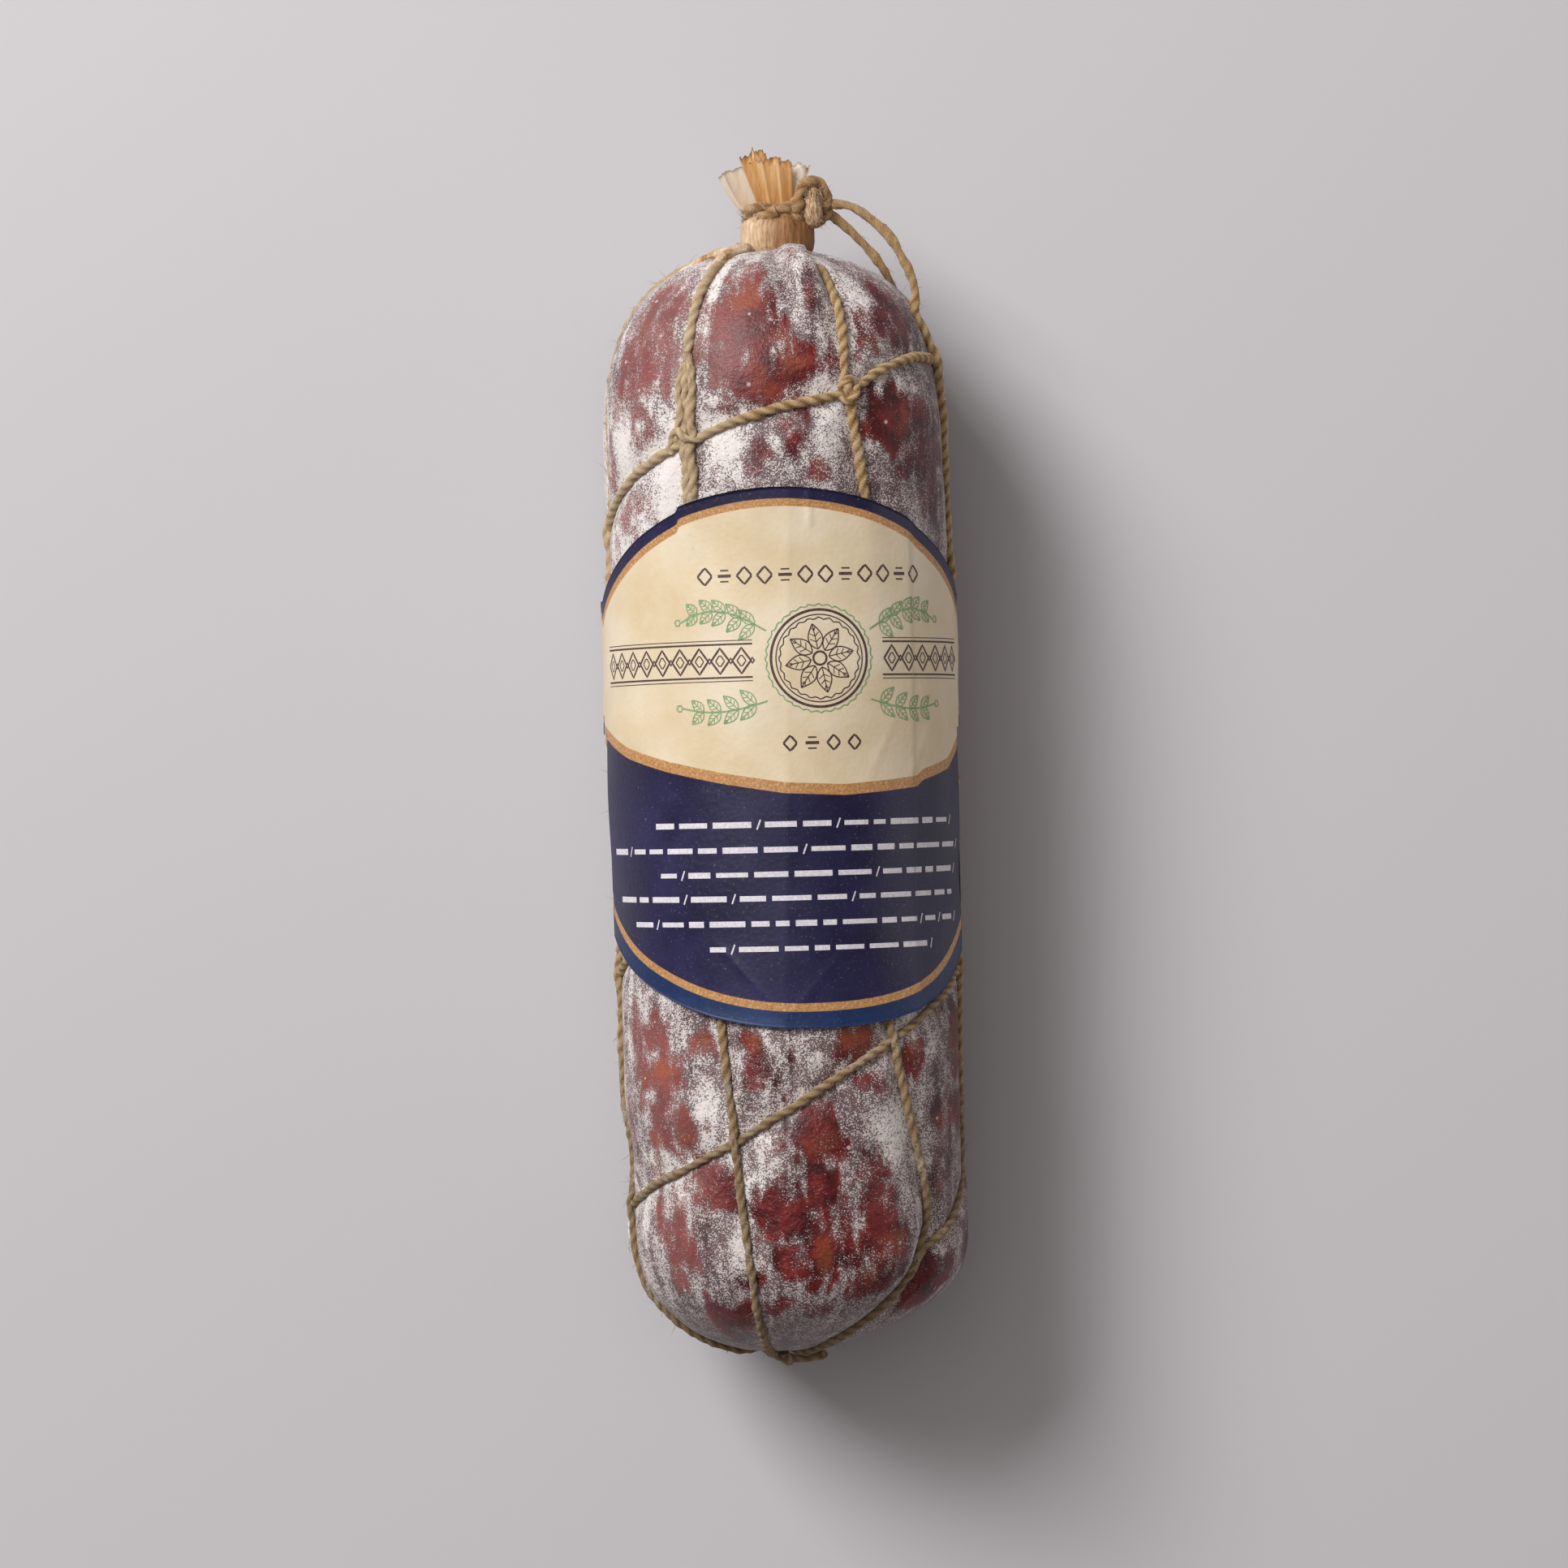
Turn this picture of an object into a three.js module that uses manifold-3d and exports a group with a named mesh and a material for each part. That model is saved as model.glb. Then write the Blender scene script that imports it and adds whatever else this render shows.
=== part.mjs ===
// Truffle salami: cured pork in a natural casing with a white bloom, tied in a net of kitchen
// twine, with a shaped paper label round its belly.
// Millimetres, +Z up. It lies on z = 0 along Y, the tied end towards +Y and the label on top.
// The origin is the middle of the flat that it rests on.
import * as THREE from 'three';
import { mergeVertices } from 'three/addons/utils/BufferGeometryUtils.js';
import Module from 'manifold-3d';

const wasm = await Module();
wasm.setup();

// Driving sizes of the sausage
const BODY_RADIUS = 28.4;
const TOP_END_Y = 90.5;
const BOTTOM_END_Y = -96.0;
const AXIS_HEIGHT = 28.6;
const SHOULDER_LENGTH = 36;
const SHOULDER_POWER = 0.465;
const HEEL_LENGTH = 24;
const HEEL_POWER = 0.69;
const HEEL_SHIFT = -3.0;
const HEEL_SHIFT_LENGTH = 16;
const HEEL_SHIFT_POWER = 1.5;
const PUCKER_DEPTH = 2.2;
const PUCKER_RADIUS = 8;

// How far the meat swells between the strings and how deep they bite into it
const PILLOW = 0.9;
const BITE = 0.9;
const VALLEY_WIDTH = 4.0;
const VALLEY_POWER = 1.5;
const FLOOR_BITE = 1.3;
const FLOOR_BITE_ANGLE = 22;

// Below this share of the full radius, at the ends, the swelling fades out
const FULL_FROM = 0.13;

// Gathers of the casing round the neck, and the thick fold in front of it
const GATHER_DEPTH = 1.0;
const GATHER_LENGTH = 6;
const FOLD_ANGLE = 12;
const FOLD_HALF_ANGLE = 13;
const FOLD_HEIGHT = 1.6;
const FOLD_REACH = 1.4;
const FOLD_LENGTH = 10;
const FOLD_START = 1.6;

// Twine and the gaps that keep the solids apart
const TWINE_DIAMETER = 1.6;
const TWINE_SIDES = 6;
const GAP = 0.35;
const TWINE_LIFT = GAP + TWINE_DIAMETER / 2;

// Lengthwise strings: angle in degrees from the top towards +X, at places along Y
const STRINGS = {
  left_edge: [[84, -84], [-50, -83], [-92, -78]],
  left_front: [[84, -31], [45, -31], [-40, -23], [-58, -19], [-92, -13]],
  right_front: [[84, 27], [66, 24], [46, 30], [-39, 34], [-60, 45], [-73, 52], [-80, 47], [-92, 34]],
  right_edge: [[84, 76], [62, 77], [48, 84], [-62, 84], [-69, 76], [-73, 65], [-79, 57], [-92, 48]],
  back_right: [[84, 102], [76, 114], [62, 132], [45, 147], [-92, 147]],
  back_left: [[84, 213], [-92, 213]],
};
const STRING_NAMES = Object.keys(STRINGS);

// Hoops: the Y at which each one crosses the six strings, and its bow in between
const HOOPS = [
  { crossings: [43.5, 56.2, 63.6, 70, 66, 52], bows: [0.9, 0.8, 2.6, 1, 0, 0] },
  { crossings: [8, 18.5, 27, 35, 31, 17], bows: [0, 0, 0, 1, 0, 0] },
  { crossings: [-31, -20, -8, 0, -4, -20], bows: [0, 0, 0, 1, 0, 0] },
  { crossings: [-70, -58.3, -42.2, -31, -37, -57], bows: [-0.5, 0, 0.6, 1, 0, 0] },
];

// Divisions of the body's surface
const COLUMNS_PER_SECTOR = 6;
const COLUMNS = COLUMNS_PER_SECTOR * STRING_NAMES.length;
const SHOULDER_ROWS = 12;
const BELLY_ROWS = 6;
const HEEL_ROWS = 13;
const END_CROWDING = 1.9;
const NECK_MARGIN = 0.5;
const TIP_MARGIN = 0.35;

const material = (color, roughness) => new THREE.MeshStandardMaterial({ color, roughness, metalness: 0 });

const clamp01 = (t) => Math.min(1, Math.max(0, t));

const smooth = (t) => clamp01(t) ** 2 * (3 - 2 * clamp01(t));

const degrees = (angle) => THREE.MathUtils.degToRad(angle);

// A value read off a short list of [place, value] pairs that runs downwards
function readOff(pairs, place) {
  if (place >= pairs[0][0]) return pairs[0][1];
  for (let i = 1; i < pairs.length; i += 1) {
    const [high, before] = pairs[i - 1];
    const [low, after] = pairs[i];
    if (place >= low) return THREE.MathUtils.lerp(after, before, (place - low) / (high - low));
  }
  return pairs.at(-1)[1];
}

// Radius of the smooth sausage: a straight belly, a high round shoulder and a softer heel
function bodyRadius(y) {
  const shoulder = clamp01((TOP_END_Y - y) / SHOULDER_LENGTH);
  const heel = clamp01((y - BOTTOM_END_Y) / HEEL_LENGTH);
  const rounding = (along, power) => (1 - (1 - along) ** 3) ** power;
  return BODY_RADIUS * rounding(shoulder, SHOULDER_POWER) * rounding(heel, HEEL_POWER);
}

function axisShift(y) {
  const along = clamp01((BOTTOM_END_Y + HEEL_SHIFT_LENGTH - y) / HEEL_SHIFT_LENGTH);
  return HEEL_SHIFT * along ** HEEL_SHIFT_POWER;
}

// Angle of a column, which runs between two neighbouring strings
function columnAngle(column, y) {
  const sector = Math.floor(column / COLUMNS_PER_SECTOR) % STRING_NAMES.length;
  const share = (column % COLUMNS_PER_SECTOR) / COLUMNS_PER_SECTOR;
  const next = (sector + 1) % STRING_NAMES.length;
  const from = readOff(STRINGS[STRING_NAMES[sector]], y);
  const to = readOff(STRINGS[STRING_NAMES[next]], y) + (next === 0 ? 360 : 0);
  return THREE.MathUtils.lerp(from, to, share);
}

function hoopY(hoop, column) {
  const sector = Math.floor(column / COLUMNS_PER_SECTOR) % STRING_NAMES.length;
  const share = (column % COLUMNS_PER_SECTOR) / COLUMNS_PER_SECTOR;
  const next = (sector + 1) % STRING_NAMES.length;
  const straight = THREE.MathUtils.lerp(hoop.crossings[sector], hoop.crossings[next], share);
  return straight + hoop.bows[sector] * Math.sin(Math.PI * share);
}

// Every row of the surface as its Y on one column, from the neck down to the tip
function rowPlaces(column) {
  const hoops = HOOPS.map((hoop) => hoopY(hoop, column));
  const neck = TOP_END_Y - NECK_MARGIN;
  const tip = BOTTOM_END_Y + TIP_MARGIN;
  const places = [];
  for (let i = 0; i < SHOULDER_ROWS; i += 1) {
    const along = (i / SHOULDER_ROWS) ** END_CROWDING;
    places.push(THREE.MathUtils.lerp(neck, hoops[0], along));
  }
  for (let band = 0; band < HOOPS.length - 1; band += 1) {
    for (let i = 0; i < BELLY_ROWS; i += 1) {
      places.push(THREE.MathUtils.lerp(hoops[band], hoops[band + 1], i / BELLY_ROWS));
    }
  }
  for (let i = 0; i <= HEEL_ROWS; i += 1) {
    const along = 1 - (1 - i / HEEL_ROWS) ** END_CROWDING;
    places.push(THREE.MathUtils.lerp(hoops.at(-1), tip, along));
  }
  return places;
}

// Rounded swelling that is 0 under a string and 1 well away from it
const swelling = (distance) => 1 - Math.exp(-((distance / VALLEY_WIDTH) ** VALLEY_POWER));

// Where the surface of the meat lies on one column and at one Y
function bodyPoint(column, y) {
  const angle = columnAngle(column, y);
  const radius = bodyRadius(y);
  const sectorStart = column - (column % COLUMNS_PER_SECTOR);
  const sectorAngle = columnAngle(sectorStart + COLUMNS_PER_SECTOR - 1, y) - columnAngle(sectorStart, y);
  const sectorWidth = degrees(sectorAngle * COLUMNS_PER_SECTOR / (COLUMNS_PER_SECTOR - 1)) * radius;
  const share = (column % COLUMNS_PER_SECTOR) / COLUMNS_PER_SECTOR;
  const fromString = sectorWidth * Math.min(share, 1 - share);
  const fromHoop = Math.min(...HOOPS.map((hoop) => Math.abs(y - hoopY(hoop, column))));
  const fullness = smooth((radius / BODY_RADIUS - FULL_FROM) / (1 - FULL_FROM));
  const round = Math.min(swelling(fromString), swelling(fromHoop));
  const fromFloor = Math.abs(angle - 180);
  const floorBite = FLOOR_BITE * smooth(2 - fromFloor / FLOOR_BITE_ANGLE) * (1 - swelling(fromHoop));
  const gather = GATHER_DEPTH * Math.exp((y - TOP_END_Y) / GATHER_LENGTH) * (column % 2 ? 1 : -1);
  const across = clamp01(1 - Math.abs(angle - FOLD_ANGLE) / FOLD_HALF_ANGLE);
  const fromNeck = TOP_END_Y - y;
  const fold = smooth(across) * smooth(1 - fromNeck / FOLD_LENGTH) * smooth(fromNeck / FOLD_START);
  const raised = (PILLOW + BITE) * round * fullness - BITE * fullness - floorBite + fold * FOLD_HEIGHT;
  const size = radius + raised + gather * (1 - fold);
  const pucker = y < 0 ? PUCKER_DEPTH * smooth(1 - radius / PUCKER_RADIUS) : 0;
  const x = axisShift(y) + size * Math.sin(degrees(angle));
  const z = AXIS_HEIGHT + size * Math.cos(degrees(angle));
  return new THREE.Vector3(x, y + pucker + fold * FOLD_REACH, Math.max(z, 0));
}

// Closed solid through a stack of rings, with a middle point at each end
function ringSolid(rings, firstMiddle, lastMiddle) {
  const count = rings[0].length;
  const positions = [...rings.flat(), firstMiddle, lastMiddle].flatMap((point) => point.toArray());
  const first = rings.length * count;
  const last = first + 1;
  const lastRing = (rings.length - 1) * count;
  const triangles = [];
  for (let column = 0; column < count; column += 1) {
    const next = (column + 1) % count;
    for (let row = 0; row < rings.length - 1; row += 1) {
      const here = row * count;
      const below = here + count;
      triangles.push(here + column, below + column, here + next);
      triangles.push(here + next, below + column, below + next);
    }
    triangles.push(first, column, next);
    triangles.push(last, lastRing + next, lastRing + column);
  }
  const geometry = new THREE.BufferGeometry();
  geometry.setAttribute('position', new THREE.Float32BufferAttribute(positions, 3));
  geometry.setIndex(triangles);
  return geometry;
}

// The meat in its casing
const columnPlaces = Array.from({ length: COLUMNS }, (_, column) => rowPlaces(column));
const ROWS = columnPlaces[0].length;
const surface = Array.from({ length: ROWS }, (_, row) => (
  columnPlaces.map((places, column) => bodyPoint(column, places[row]))
));

function makeBody() {
  const neckMiddle = new THREE.Vector3(0, TOP_END_Y - NECK_MARGIN, AXIS_HEIGHT);
  const tipMiddle = new THREE.Vector3(HEEL_SHIFT, BOTTOM_END_Y + PUCKER_DEPTH, AXIS_HEIGHT);
  return ringSolid(surface, neckMiddle, tipMiddle);
}

// A point lifted off the meat along the surface's own direction there
function lifted(row, column, height) {
  const at = (r, c) => surface[Math.min(ROWS - 1, Math.max(0, r))][(c + COLUMNS) % COLUMNS];
  const down = at(row + 1, column).clone().sub(at(row - 1, column));
  const round = at(row, column + 1).clone().sub(at(row, column - 1));
  const out = down.cross(round).normalize();
  return at(row, column).clone().addScaledVector(out, height);
}

// Booleans on closed meshes
function toManifold(geometry) {
  const bare = geometry.clone();
  bare.deleteAttribute('normal');
  bare.deleteAttribute('uv');
  const merged = mergeVertices(bare, 1e-4);
  const mesh = new wasm.Mesh({
    numProp: 3,
    vertProperties: new Float32Array(merged.attributes.position.array),
    triVerts: new Uint32Array(merged.index.array),
  });
  return new wasm.Manifold(mesh);
}

function toGeometry(solid) {
  const mesh = solid.getMesh();
  const geometry = new THREE.BufferGeometry();
  geometry.setAttribute('position', new THREE.Float32BufferAttribute(mesh.vertProperties, 3));
  geometry.setIndex(Array.from(mesh.triVerts));
  return geometry;
}

const joined = (geometries) => toGeometry(
  geometries.map(toManifold).reduce((whole, piece) => whole.add(piece)),
);

// A length of twine along a smooth route
function twine(points, diameter, sides, steps) {
  const section = new THREE.Shape();
  for (let i = 0; i < sides; i += 1) {
    const turn = 2 * Math.PI * i / sides;
    const corner = [diameter / 2 * Math.cos(turn), diameter / 2 * Math.sin(turn)];
    if (i === 0) section.moveTo(...corner);
    else section.lineTo(...corner);
  }
  section.closePath();
  const route = new THREE.CatmullRomCurve3(points, false, 'centripetal');
  return new THREE.ExtrudeGeometry(section, { steps, extrudePath: route, bevelEnabled: false });
}

// Routes of the two strings that cross the air from the knot, and the Y where each meets the shoulder
const KNOT_STRANDS = {
  right_edge: [
    [10.7, 97.7, 30.2], [14.1, 96.7, 31.2], [18.4, 93.2, 32.2], [20.6, 90.5, 32.8], [22.0, 87.8, 33.3],
    [23.3, 84.9, 33.8], [24.0, 82.0, 34.3],
  ],
  back_right: [
    [10.2, 95.9, 28.9], [13.2, 93.4, 28.6], [16.5, 90.0, 27.8], [19.4, 86.0, 26.5],
  ],
};
const STRAND_LANDING = { right_edge: 78.0, back_right: 80.5 };

// The string that is merged into its neighbour near the heel
const MERGED_STRING = 'right_edge';
const MERGE_Y = -79;
const MERGE_TARGET = 'right_front';
const MERGE_CLIMB = 0.9;

// The second strand that lies beside the left front string
const SECOND_STRAND_FROM = 69;
const SECOND_STRAND_TO = 24;
const SECOND_STRAND_ASIDE = 1.55;
const SECOND_STRAND_LIFT = 0.4;

const END_KNOT_CENTRE = new THREE.Vector3(-2.0, -96.1, 29.2);
const END_KNOT_RADII = new THREE.Vector3(4.2, 1.3, 2.3);

// The strings start on this row of the surface, just outside the collar
const FIRST_STRING_ROW = 1.6;
const STEPS_PER_ROW = 0.8;

// Extra height of the strings at the neck and where they turn over the rim of the heel
const RIM_CLIMB = 0.35;
const RIM_ROWS = 6;

function stringRoute(name) {
  const column = STRING_NAMES.indexOf(name) * COLUMNS_PER_SECTOR;
  const strand = KNOT_STRANDS[name] ?? [];
  const start = STRAND_LANDING[name] ?? Infinity;
  const end = name === MERGED_STRING ? MERGE_Y : -Infinity;
  const route = strand.map((point) => new THREE.Vector3(...point));
  if (!strand.length) {
    const inner = lifted(1, column, TWINE_LIFT + RIM_CLIMB);
    route.push(inner.lerp(lifted(2, column, TWINE_LIFT + RIM_CLIMB), FIRST_STRING_ROW - 1));
  }
  let row = 2;
  while (row < ROWS && columnPlaces[column][row] > end) {
    const climb = RIM_CLIMB * smooth(2 * (row - ROWS + RIM_ROWS) / RIM_ROWS);
    if (columnPlaces[column][row] < start) route.push(lifted(row, column, TWINE_LIFT + climb));
    row += 1;
  }
  if (name === MERGED_STRING) {
    const target = STRING_NAMES.indexOf(MERGE_TARGET) * COLUMNS_PER_SECTOR;
    for (let across = column - 1; across >= target; across -= 1) {
      route.push(lifted(row, across, TWINE_LIFT + MERGE_CLIMB));
    }
  } else {
    route.push(END_KNOT_CENTRE.clone());
  }
  return route;
}

// Half a hoop, which meets the other half inside a lengthwise string
function halfHoop(index, first) {
  const row = SHOULDER_ROWS + index * BELLY_ROWS;
  const route = [];
  for (let i = 0; i <= COLUMNS / 2; i += 1) {
    route.push(lifted(row, (first + i) % COLUMNS, TWINE_LIFT));
  }
  return twine(route, TWINE_DIAMETER, TWINE_SIDES, route.length - 1);
}

function secondStrand() {
  const column = STRING_NAMES.indexOf('left_front') * COLUMNS_PER_SECTOR;
  const route = [];
  for (let row = 1; row < ROWS - 1; row += 1) {
    const y = columnPlaces[column][row];
    if (y > SECOND_STRAND_FROM || y < SECOND_STRAND_TO) continue;
    const point = lifted(row, column, TWINE_LIFT + SECOND_STRAND_LIFT);
    const aside = degrees(columnAngle(column, y));
    point.x += SECOND_STRAND_ASIDE * Math.cos(aside);
    point.z -= SECOND_STRAND_ASIDE * Math.sin(aside);
    route.push(point);
  }
  return twine(route, TWINE_DIAMETER, TWINE_SIDES, route.length);
}

// The net: six lengthwise strings, the doubled one, four slanting hoops and the heel knot
function makeNet() {
  const strings = STRING_NAMES.map((name) => {
    const route = stringRoute(name);
    return twine(route, TWINE_DIAMETER, TWINE_SIDES, Math.round(route.length * STEPS_PER_ROW));
  });
  const hoops = HOOPS.flatMap((_, index) => [halfHoop(index, 0), halfHoop(index, COLUMNS / 2)]);
  const knot = new THREE.SphereGeometry(1, 10, 6);
  knot.scale(...END_KNOT_RADII.toArray());
  knot.translate(...END_KNOT_CENTRE.toArray());
  return joined([...strings, secondStrand(), ...hoops, knot]);
}

// Gathered end of the casing: a stout collar, a tied waist and a fanned, open ruffle
const NECK_X = 1.0;
const NECK_HEIGHT = 29.0;
const CASING_SIDES = 24;
const PLEAT_WAVES = 3;
const LEAF_START = 0.5;
const CASING_RINGS = [
  // along Y, sideways shift, half width, half height, depth of the pleats
  { y: 90.35, shift: 0.1, width: 6.2, height: 6.0, pleat: 0.2 },
  { y: 91.4, shift: 0.2, width: 6.1, height: 5.9, pleat: 0.25 },
  { y: 93.0, shift: 0.3, width: 6.2, height: 5.9, pleat: 0.25 },
  { y: 94.3, shift: 0.0, width: 5.2, height: 5.1, pleat: 0.25 },
  { y: 95.2, shift: -0.2, width: 3.2, height: 3.1, pleat: 0.15 },
  { y: 97.0, shift: -0.4, width: 3.1, height: 3.0, pleat: 0.15 },
  { y: 97.9, shift: -0.8, width: 4.4, height: 3.4, pleat: 0.4 },
  { y: 100.2, shift: -1.5, width: 5.6, height: 3.8, pleat: 0.6 },
  { y: 102.6, shift: -2.2, width: 6.4, height: 4.2, pleat: 0.8 },
];
const RUFFLE = { y: 105.2, shift: -2.4, width: 6.9, height: 4.6, pleat: 1.0, ragged: 1.3 };
const RUFFLE_WALL = 0.9;
const RUFFLE_FLOOR_Y = 98.4;
const LEFT_LEAF_DROP = 2.4;

function casingRing({ y, shift, width, height, pleat, ragged = 0 }, thinner = 0) {
  return Array.from({ length: CASING_SIDES }, (_, i) => {
    const turn = 2 * Math.PI * i / CASING_SIDES;
    const size = 1 + (i % 2 ? 1 : -1) * pleat / width;
    const leftness = clamp01((-Math.sin(turn) - LEAF_START) / (1 - LEAF_START));
    const rise = ragged ? ragged * Math.cos(PLEAT_WAVES * turn) - LEFT_LEAF_DROP * leftness : 0;
    return new THREE.Vector3(
      NECK_X + shift + (width * size - thinner) * Math.sin(turn),
      y + rise,
      NECK_HEIGHT + (height * size - thinner) * Math.cos(turn),
    );
  });
}

function makeCasingEnd() {
  const outside = [...CASING_RINGS, RUFFLE].reverse().map((ring) => casingRing(ring));
  const rim = casingRing(RUFFLE, RUFFLE_WALL);
  const throat = casingRing(CASING_RINGS.at(-2), RUFFLE_WALL);
  const floor = new THREE.Vector3(NECK_X + CASING_RINGS.at(-3).shift, RUFFLE_FLOOR_Y, NECK_HEIGHT);
  const base = new THREE.Vector3(NECK_X, CASING_RINGS[0].y, NECK_HEIGHT);
  return ringSolid([throat, rim, ...outside], floor, base);
}

// The tie: a ring of doubled twine round the waist and an overhand loop with its tucked tail
const TIE_RADIUS = 4.6;
const TIE_Y = 96.1;
const TIE_SHIFT = -0.3;
const TIE_HALF_THICK = 0.85;
const TIE_HALF_WIDE = 1.1;
const TIE_SEGMENTS = 20;
const TIE_SECTION_SIDES = 8;
const LOOP_DIAMETER = 1.9;
const LOOP_STEPS = 20;
const LOOP_ROUTE = [
  [5.2, 96.6, 31.4], [5.2, 98.6, 31.6], [6.0, 100.6, 31.5], [7.5, 101.2, 31.3], [8.7, 100.2, 30.8],
  [9.1, 98.2, 30.2], [8.9, 96.2, 29.5], [8.0, 95.1, 28.9], [6.8, 95.7, 28.7],
];
const TAIL_CENTRE = [7.2, 97.5, 30.3];
const TAIL_RADII = [1.5, 3.0, 1.5];

function makeTie() {
  const section = Array.from({ length: TIE_SECTION_SIDES + 1 }, (_, i) => {
    const turn = 2 * Math.PI * i / TIE_SECTION_SIDES;
    return new THREE.Vector2(
      TIE_RADIUS + TIE_HALF_THICK * Math.cos(turn),
      TIE_HALF_WIDE * Math.sin(turn),
    );
  });
  const ring = new THREE.LatheGeometry(section, TIE_SEGMENTS);
  ring.translate(NECK_X + TIE_SHIFT, TIE_Y, NECK_HEIGHT);
  const loopPoints = LOOP_ROUTE.map((point) => new THREE.Vector3(...point));
  const loop = twine(loopPoints, LOOP_DIAMETER, TWINE_SIDES, LOOP_STEPS);
  const tail = new THREE.SphereGeometry(1, 8, 6);
  tail.scale(...TAIL_RADII);
  tail.translate(...TAIL_CENTRE);
  return joined([ring, loop, tail]);
}

// The belly label: a paper shape with a lens-shaped upper field, side bands and a round skirt
const LABEL_THICK = 0.4;
const LABEL_LIFT = 1.4;
const LABEL_TOP_Y = 48.25;
const LABEL_TOP_CURVE = 0.0095;
const LABEL_SKIRT = { halfWidth: 40, bottomY: -39.75, bottomArc: 3 };
const SKIRT_LEFT = { curve: 0.0084, power: 2 };
const SKIRT_RIGHT = { curve: 0.00099, power: 2.6 };
const LABEL_BAND = { centreY: 20.2, halfHeight: 11.2, topStart: 42.3, bottomStart: 40.3, end: 54 };
const LABEL_EDGE = 0.1;
const LABEL_ROWS = 12;
const LABEL_SKIRT_COLUMNS = 16;
const LABEL_BAND_COLUMNS = [40.6, 44, 47.5, 50.8, 53.2];
const LABEL_RIDGE = { height: 0.5, halfWidth: 3.5, aside: 3, lowest: 18, fade: 6 };

// Upper and lower edge of the paper at a place measured round the curve
function labelTop(arc) {
  const out = clamp01((Math.abs(arc) - LABEL_BAND.topStart) / (LABEL_BAND.end - LABEL_BAND.topStart));
  if (out === 0) return LABEL_TOP_Y - LABEL_TOP_CURVE * arc ** 2;
  return LABEL_BAND.centreY + LABEL_BAND.halfHeight * Math.sqrt(1 - out ** 2);
}

function labelBottom(arc) {
  if (Math.abs(arc) < LABEL_SKIRT.halfWidth) {
    const side = arc < LABEL_SKIRT.bottomArc ? SKIRT_LEFT : SKIRT_RIGHT;
    return LABEL_SKIRT.bottomY + side.curve * Math.abs(arc - LABEL_SKIRT.bottomArc) ** side.power;
  }
  const out = clamp01((Math.abs(arc) - LABEL_BAND.bottomStart) / (LABEL_BAND.end - LABEL_BAND.bottomStart));
  return LABEL_BAND.centreY - LABEL_BAND.halfHeight * Math.sqrt(1 - out ** 2);
}

function labelPoint(arc, y, lift) {
  const angle = arc / (BODY_RADIUS + LABEL_LIFT);
  const doubled = degrees(readOff(STRINGS.left_front, y) + LABEL_RIDGE.aside);
  const fromRidge = (angle - doubled) * BODY_RADIUS / LABEL_RIDGE.halfWidth;
  const fade = smooth((y - LABEL_RIDGE.lowest) / LABEL_RIDGE.fade);
  const ridge = LABEL_RIDGE.height * Math.exp(-(fromRidge ** 2)) * fade;
  const size = bodyRadius(y) + LABEL_LIFT + lift + ridge;
  return new THREE.Vector3(size * Math.sin(angle), y, AXIS_HEIGHT + size * Math.cos(angle));
}

function labelArcs() {
  const skirt = [];
  for (let i = 0; i <= LABEL_SKIRT_COLUMNS; i += 1) {
    skirt.push((2 * i / LABEL_SKIRT_COLUMNS - 1) * (LABEL_SKIRT.halfWidth - LABEL_EDGE));
  }
  const left = LABEL_BAND_COLUMNS.map((arc) => -arc).reverse();
  return [...left, ...skirt, ...LABEL_BAND_COLUMNS];
}

function makeLabel() {
  const arcs = labelArcs();
  const rows = LABEL_ROWS + 1;
  const face = arcs.length * rows;
  const positions = [];
  for (const lift of [LABEL_THICK, 0]) {
    for (const arc of arcs) {
      for (let row = 0; row < rows; row += 1) {
        const y = THREE.MathUtils.lerp(labelTop(arc), labelBottom(arc), row / LABEL_ROWS);
        positions.push(...labelPoint(arc, y, lift).toArray());
      }
    }
  }
  const triangles = [];
  const quad = (a, b, c, d) => triangles.push(a, b, c, a, c, d);
  const strip = (from, to) => quad(from, from + face, to + face, to);
  for (let column = 0; column < arcs.length - 1; column += 1) {
    const start = column * rows;
    for (let row = start; row < start + LABEL_ROWS; row += 1) {
      quad(row, row + 1, row + 1 + rows, row + rows);
      quad(face + row, face + row + rows, face + row + 1 + rows, face + row + 1);
    }
    strip(start + rows, start);
    strip(start + LABEL_ROWS, start + LABEL_ROWS + rows);
  }
  const lastColumn = (arcs.length - 1) * rows;
  for (let row = 0; row < LABEL_ROWS; row += 1) {
    strip(row, row + 1);
    strip(lastColumn + row + 1, lastColumn + row);
  }
  const geometry = new THREE.BufferGeometry();
  geometry.setAttribute('position', new THREE.Float32BufferAttribute(positions, 3));
  geometry.setIndex(triangles);
  return geometry;
}

const group = new THREE.Group();

function add(name, geometry, look) {
  geometry.computeVertexNormals();
  const mesh = new THREE.Mesh(geometry, look);
  mesh.name = name;
  group.add(mesh);
}

add('salami_body', makeBody(), material(0xb89a94, 0.75));
add('casing_end', makeCasingEnd(), material(0xcf9f66, 0.45));
add('twine_net', makeNet(), material(0xb08d62, 0.9));
add('neck_tie', makeTie(), material(0xa97951, 0.9));
add('paper_label', makeLabel(), material(0xe4cfae, 0.45));

export default group;
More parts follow.
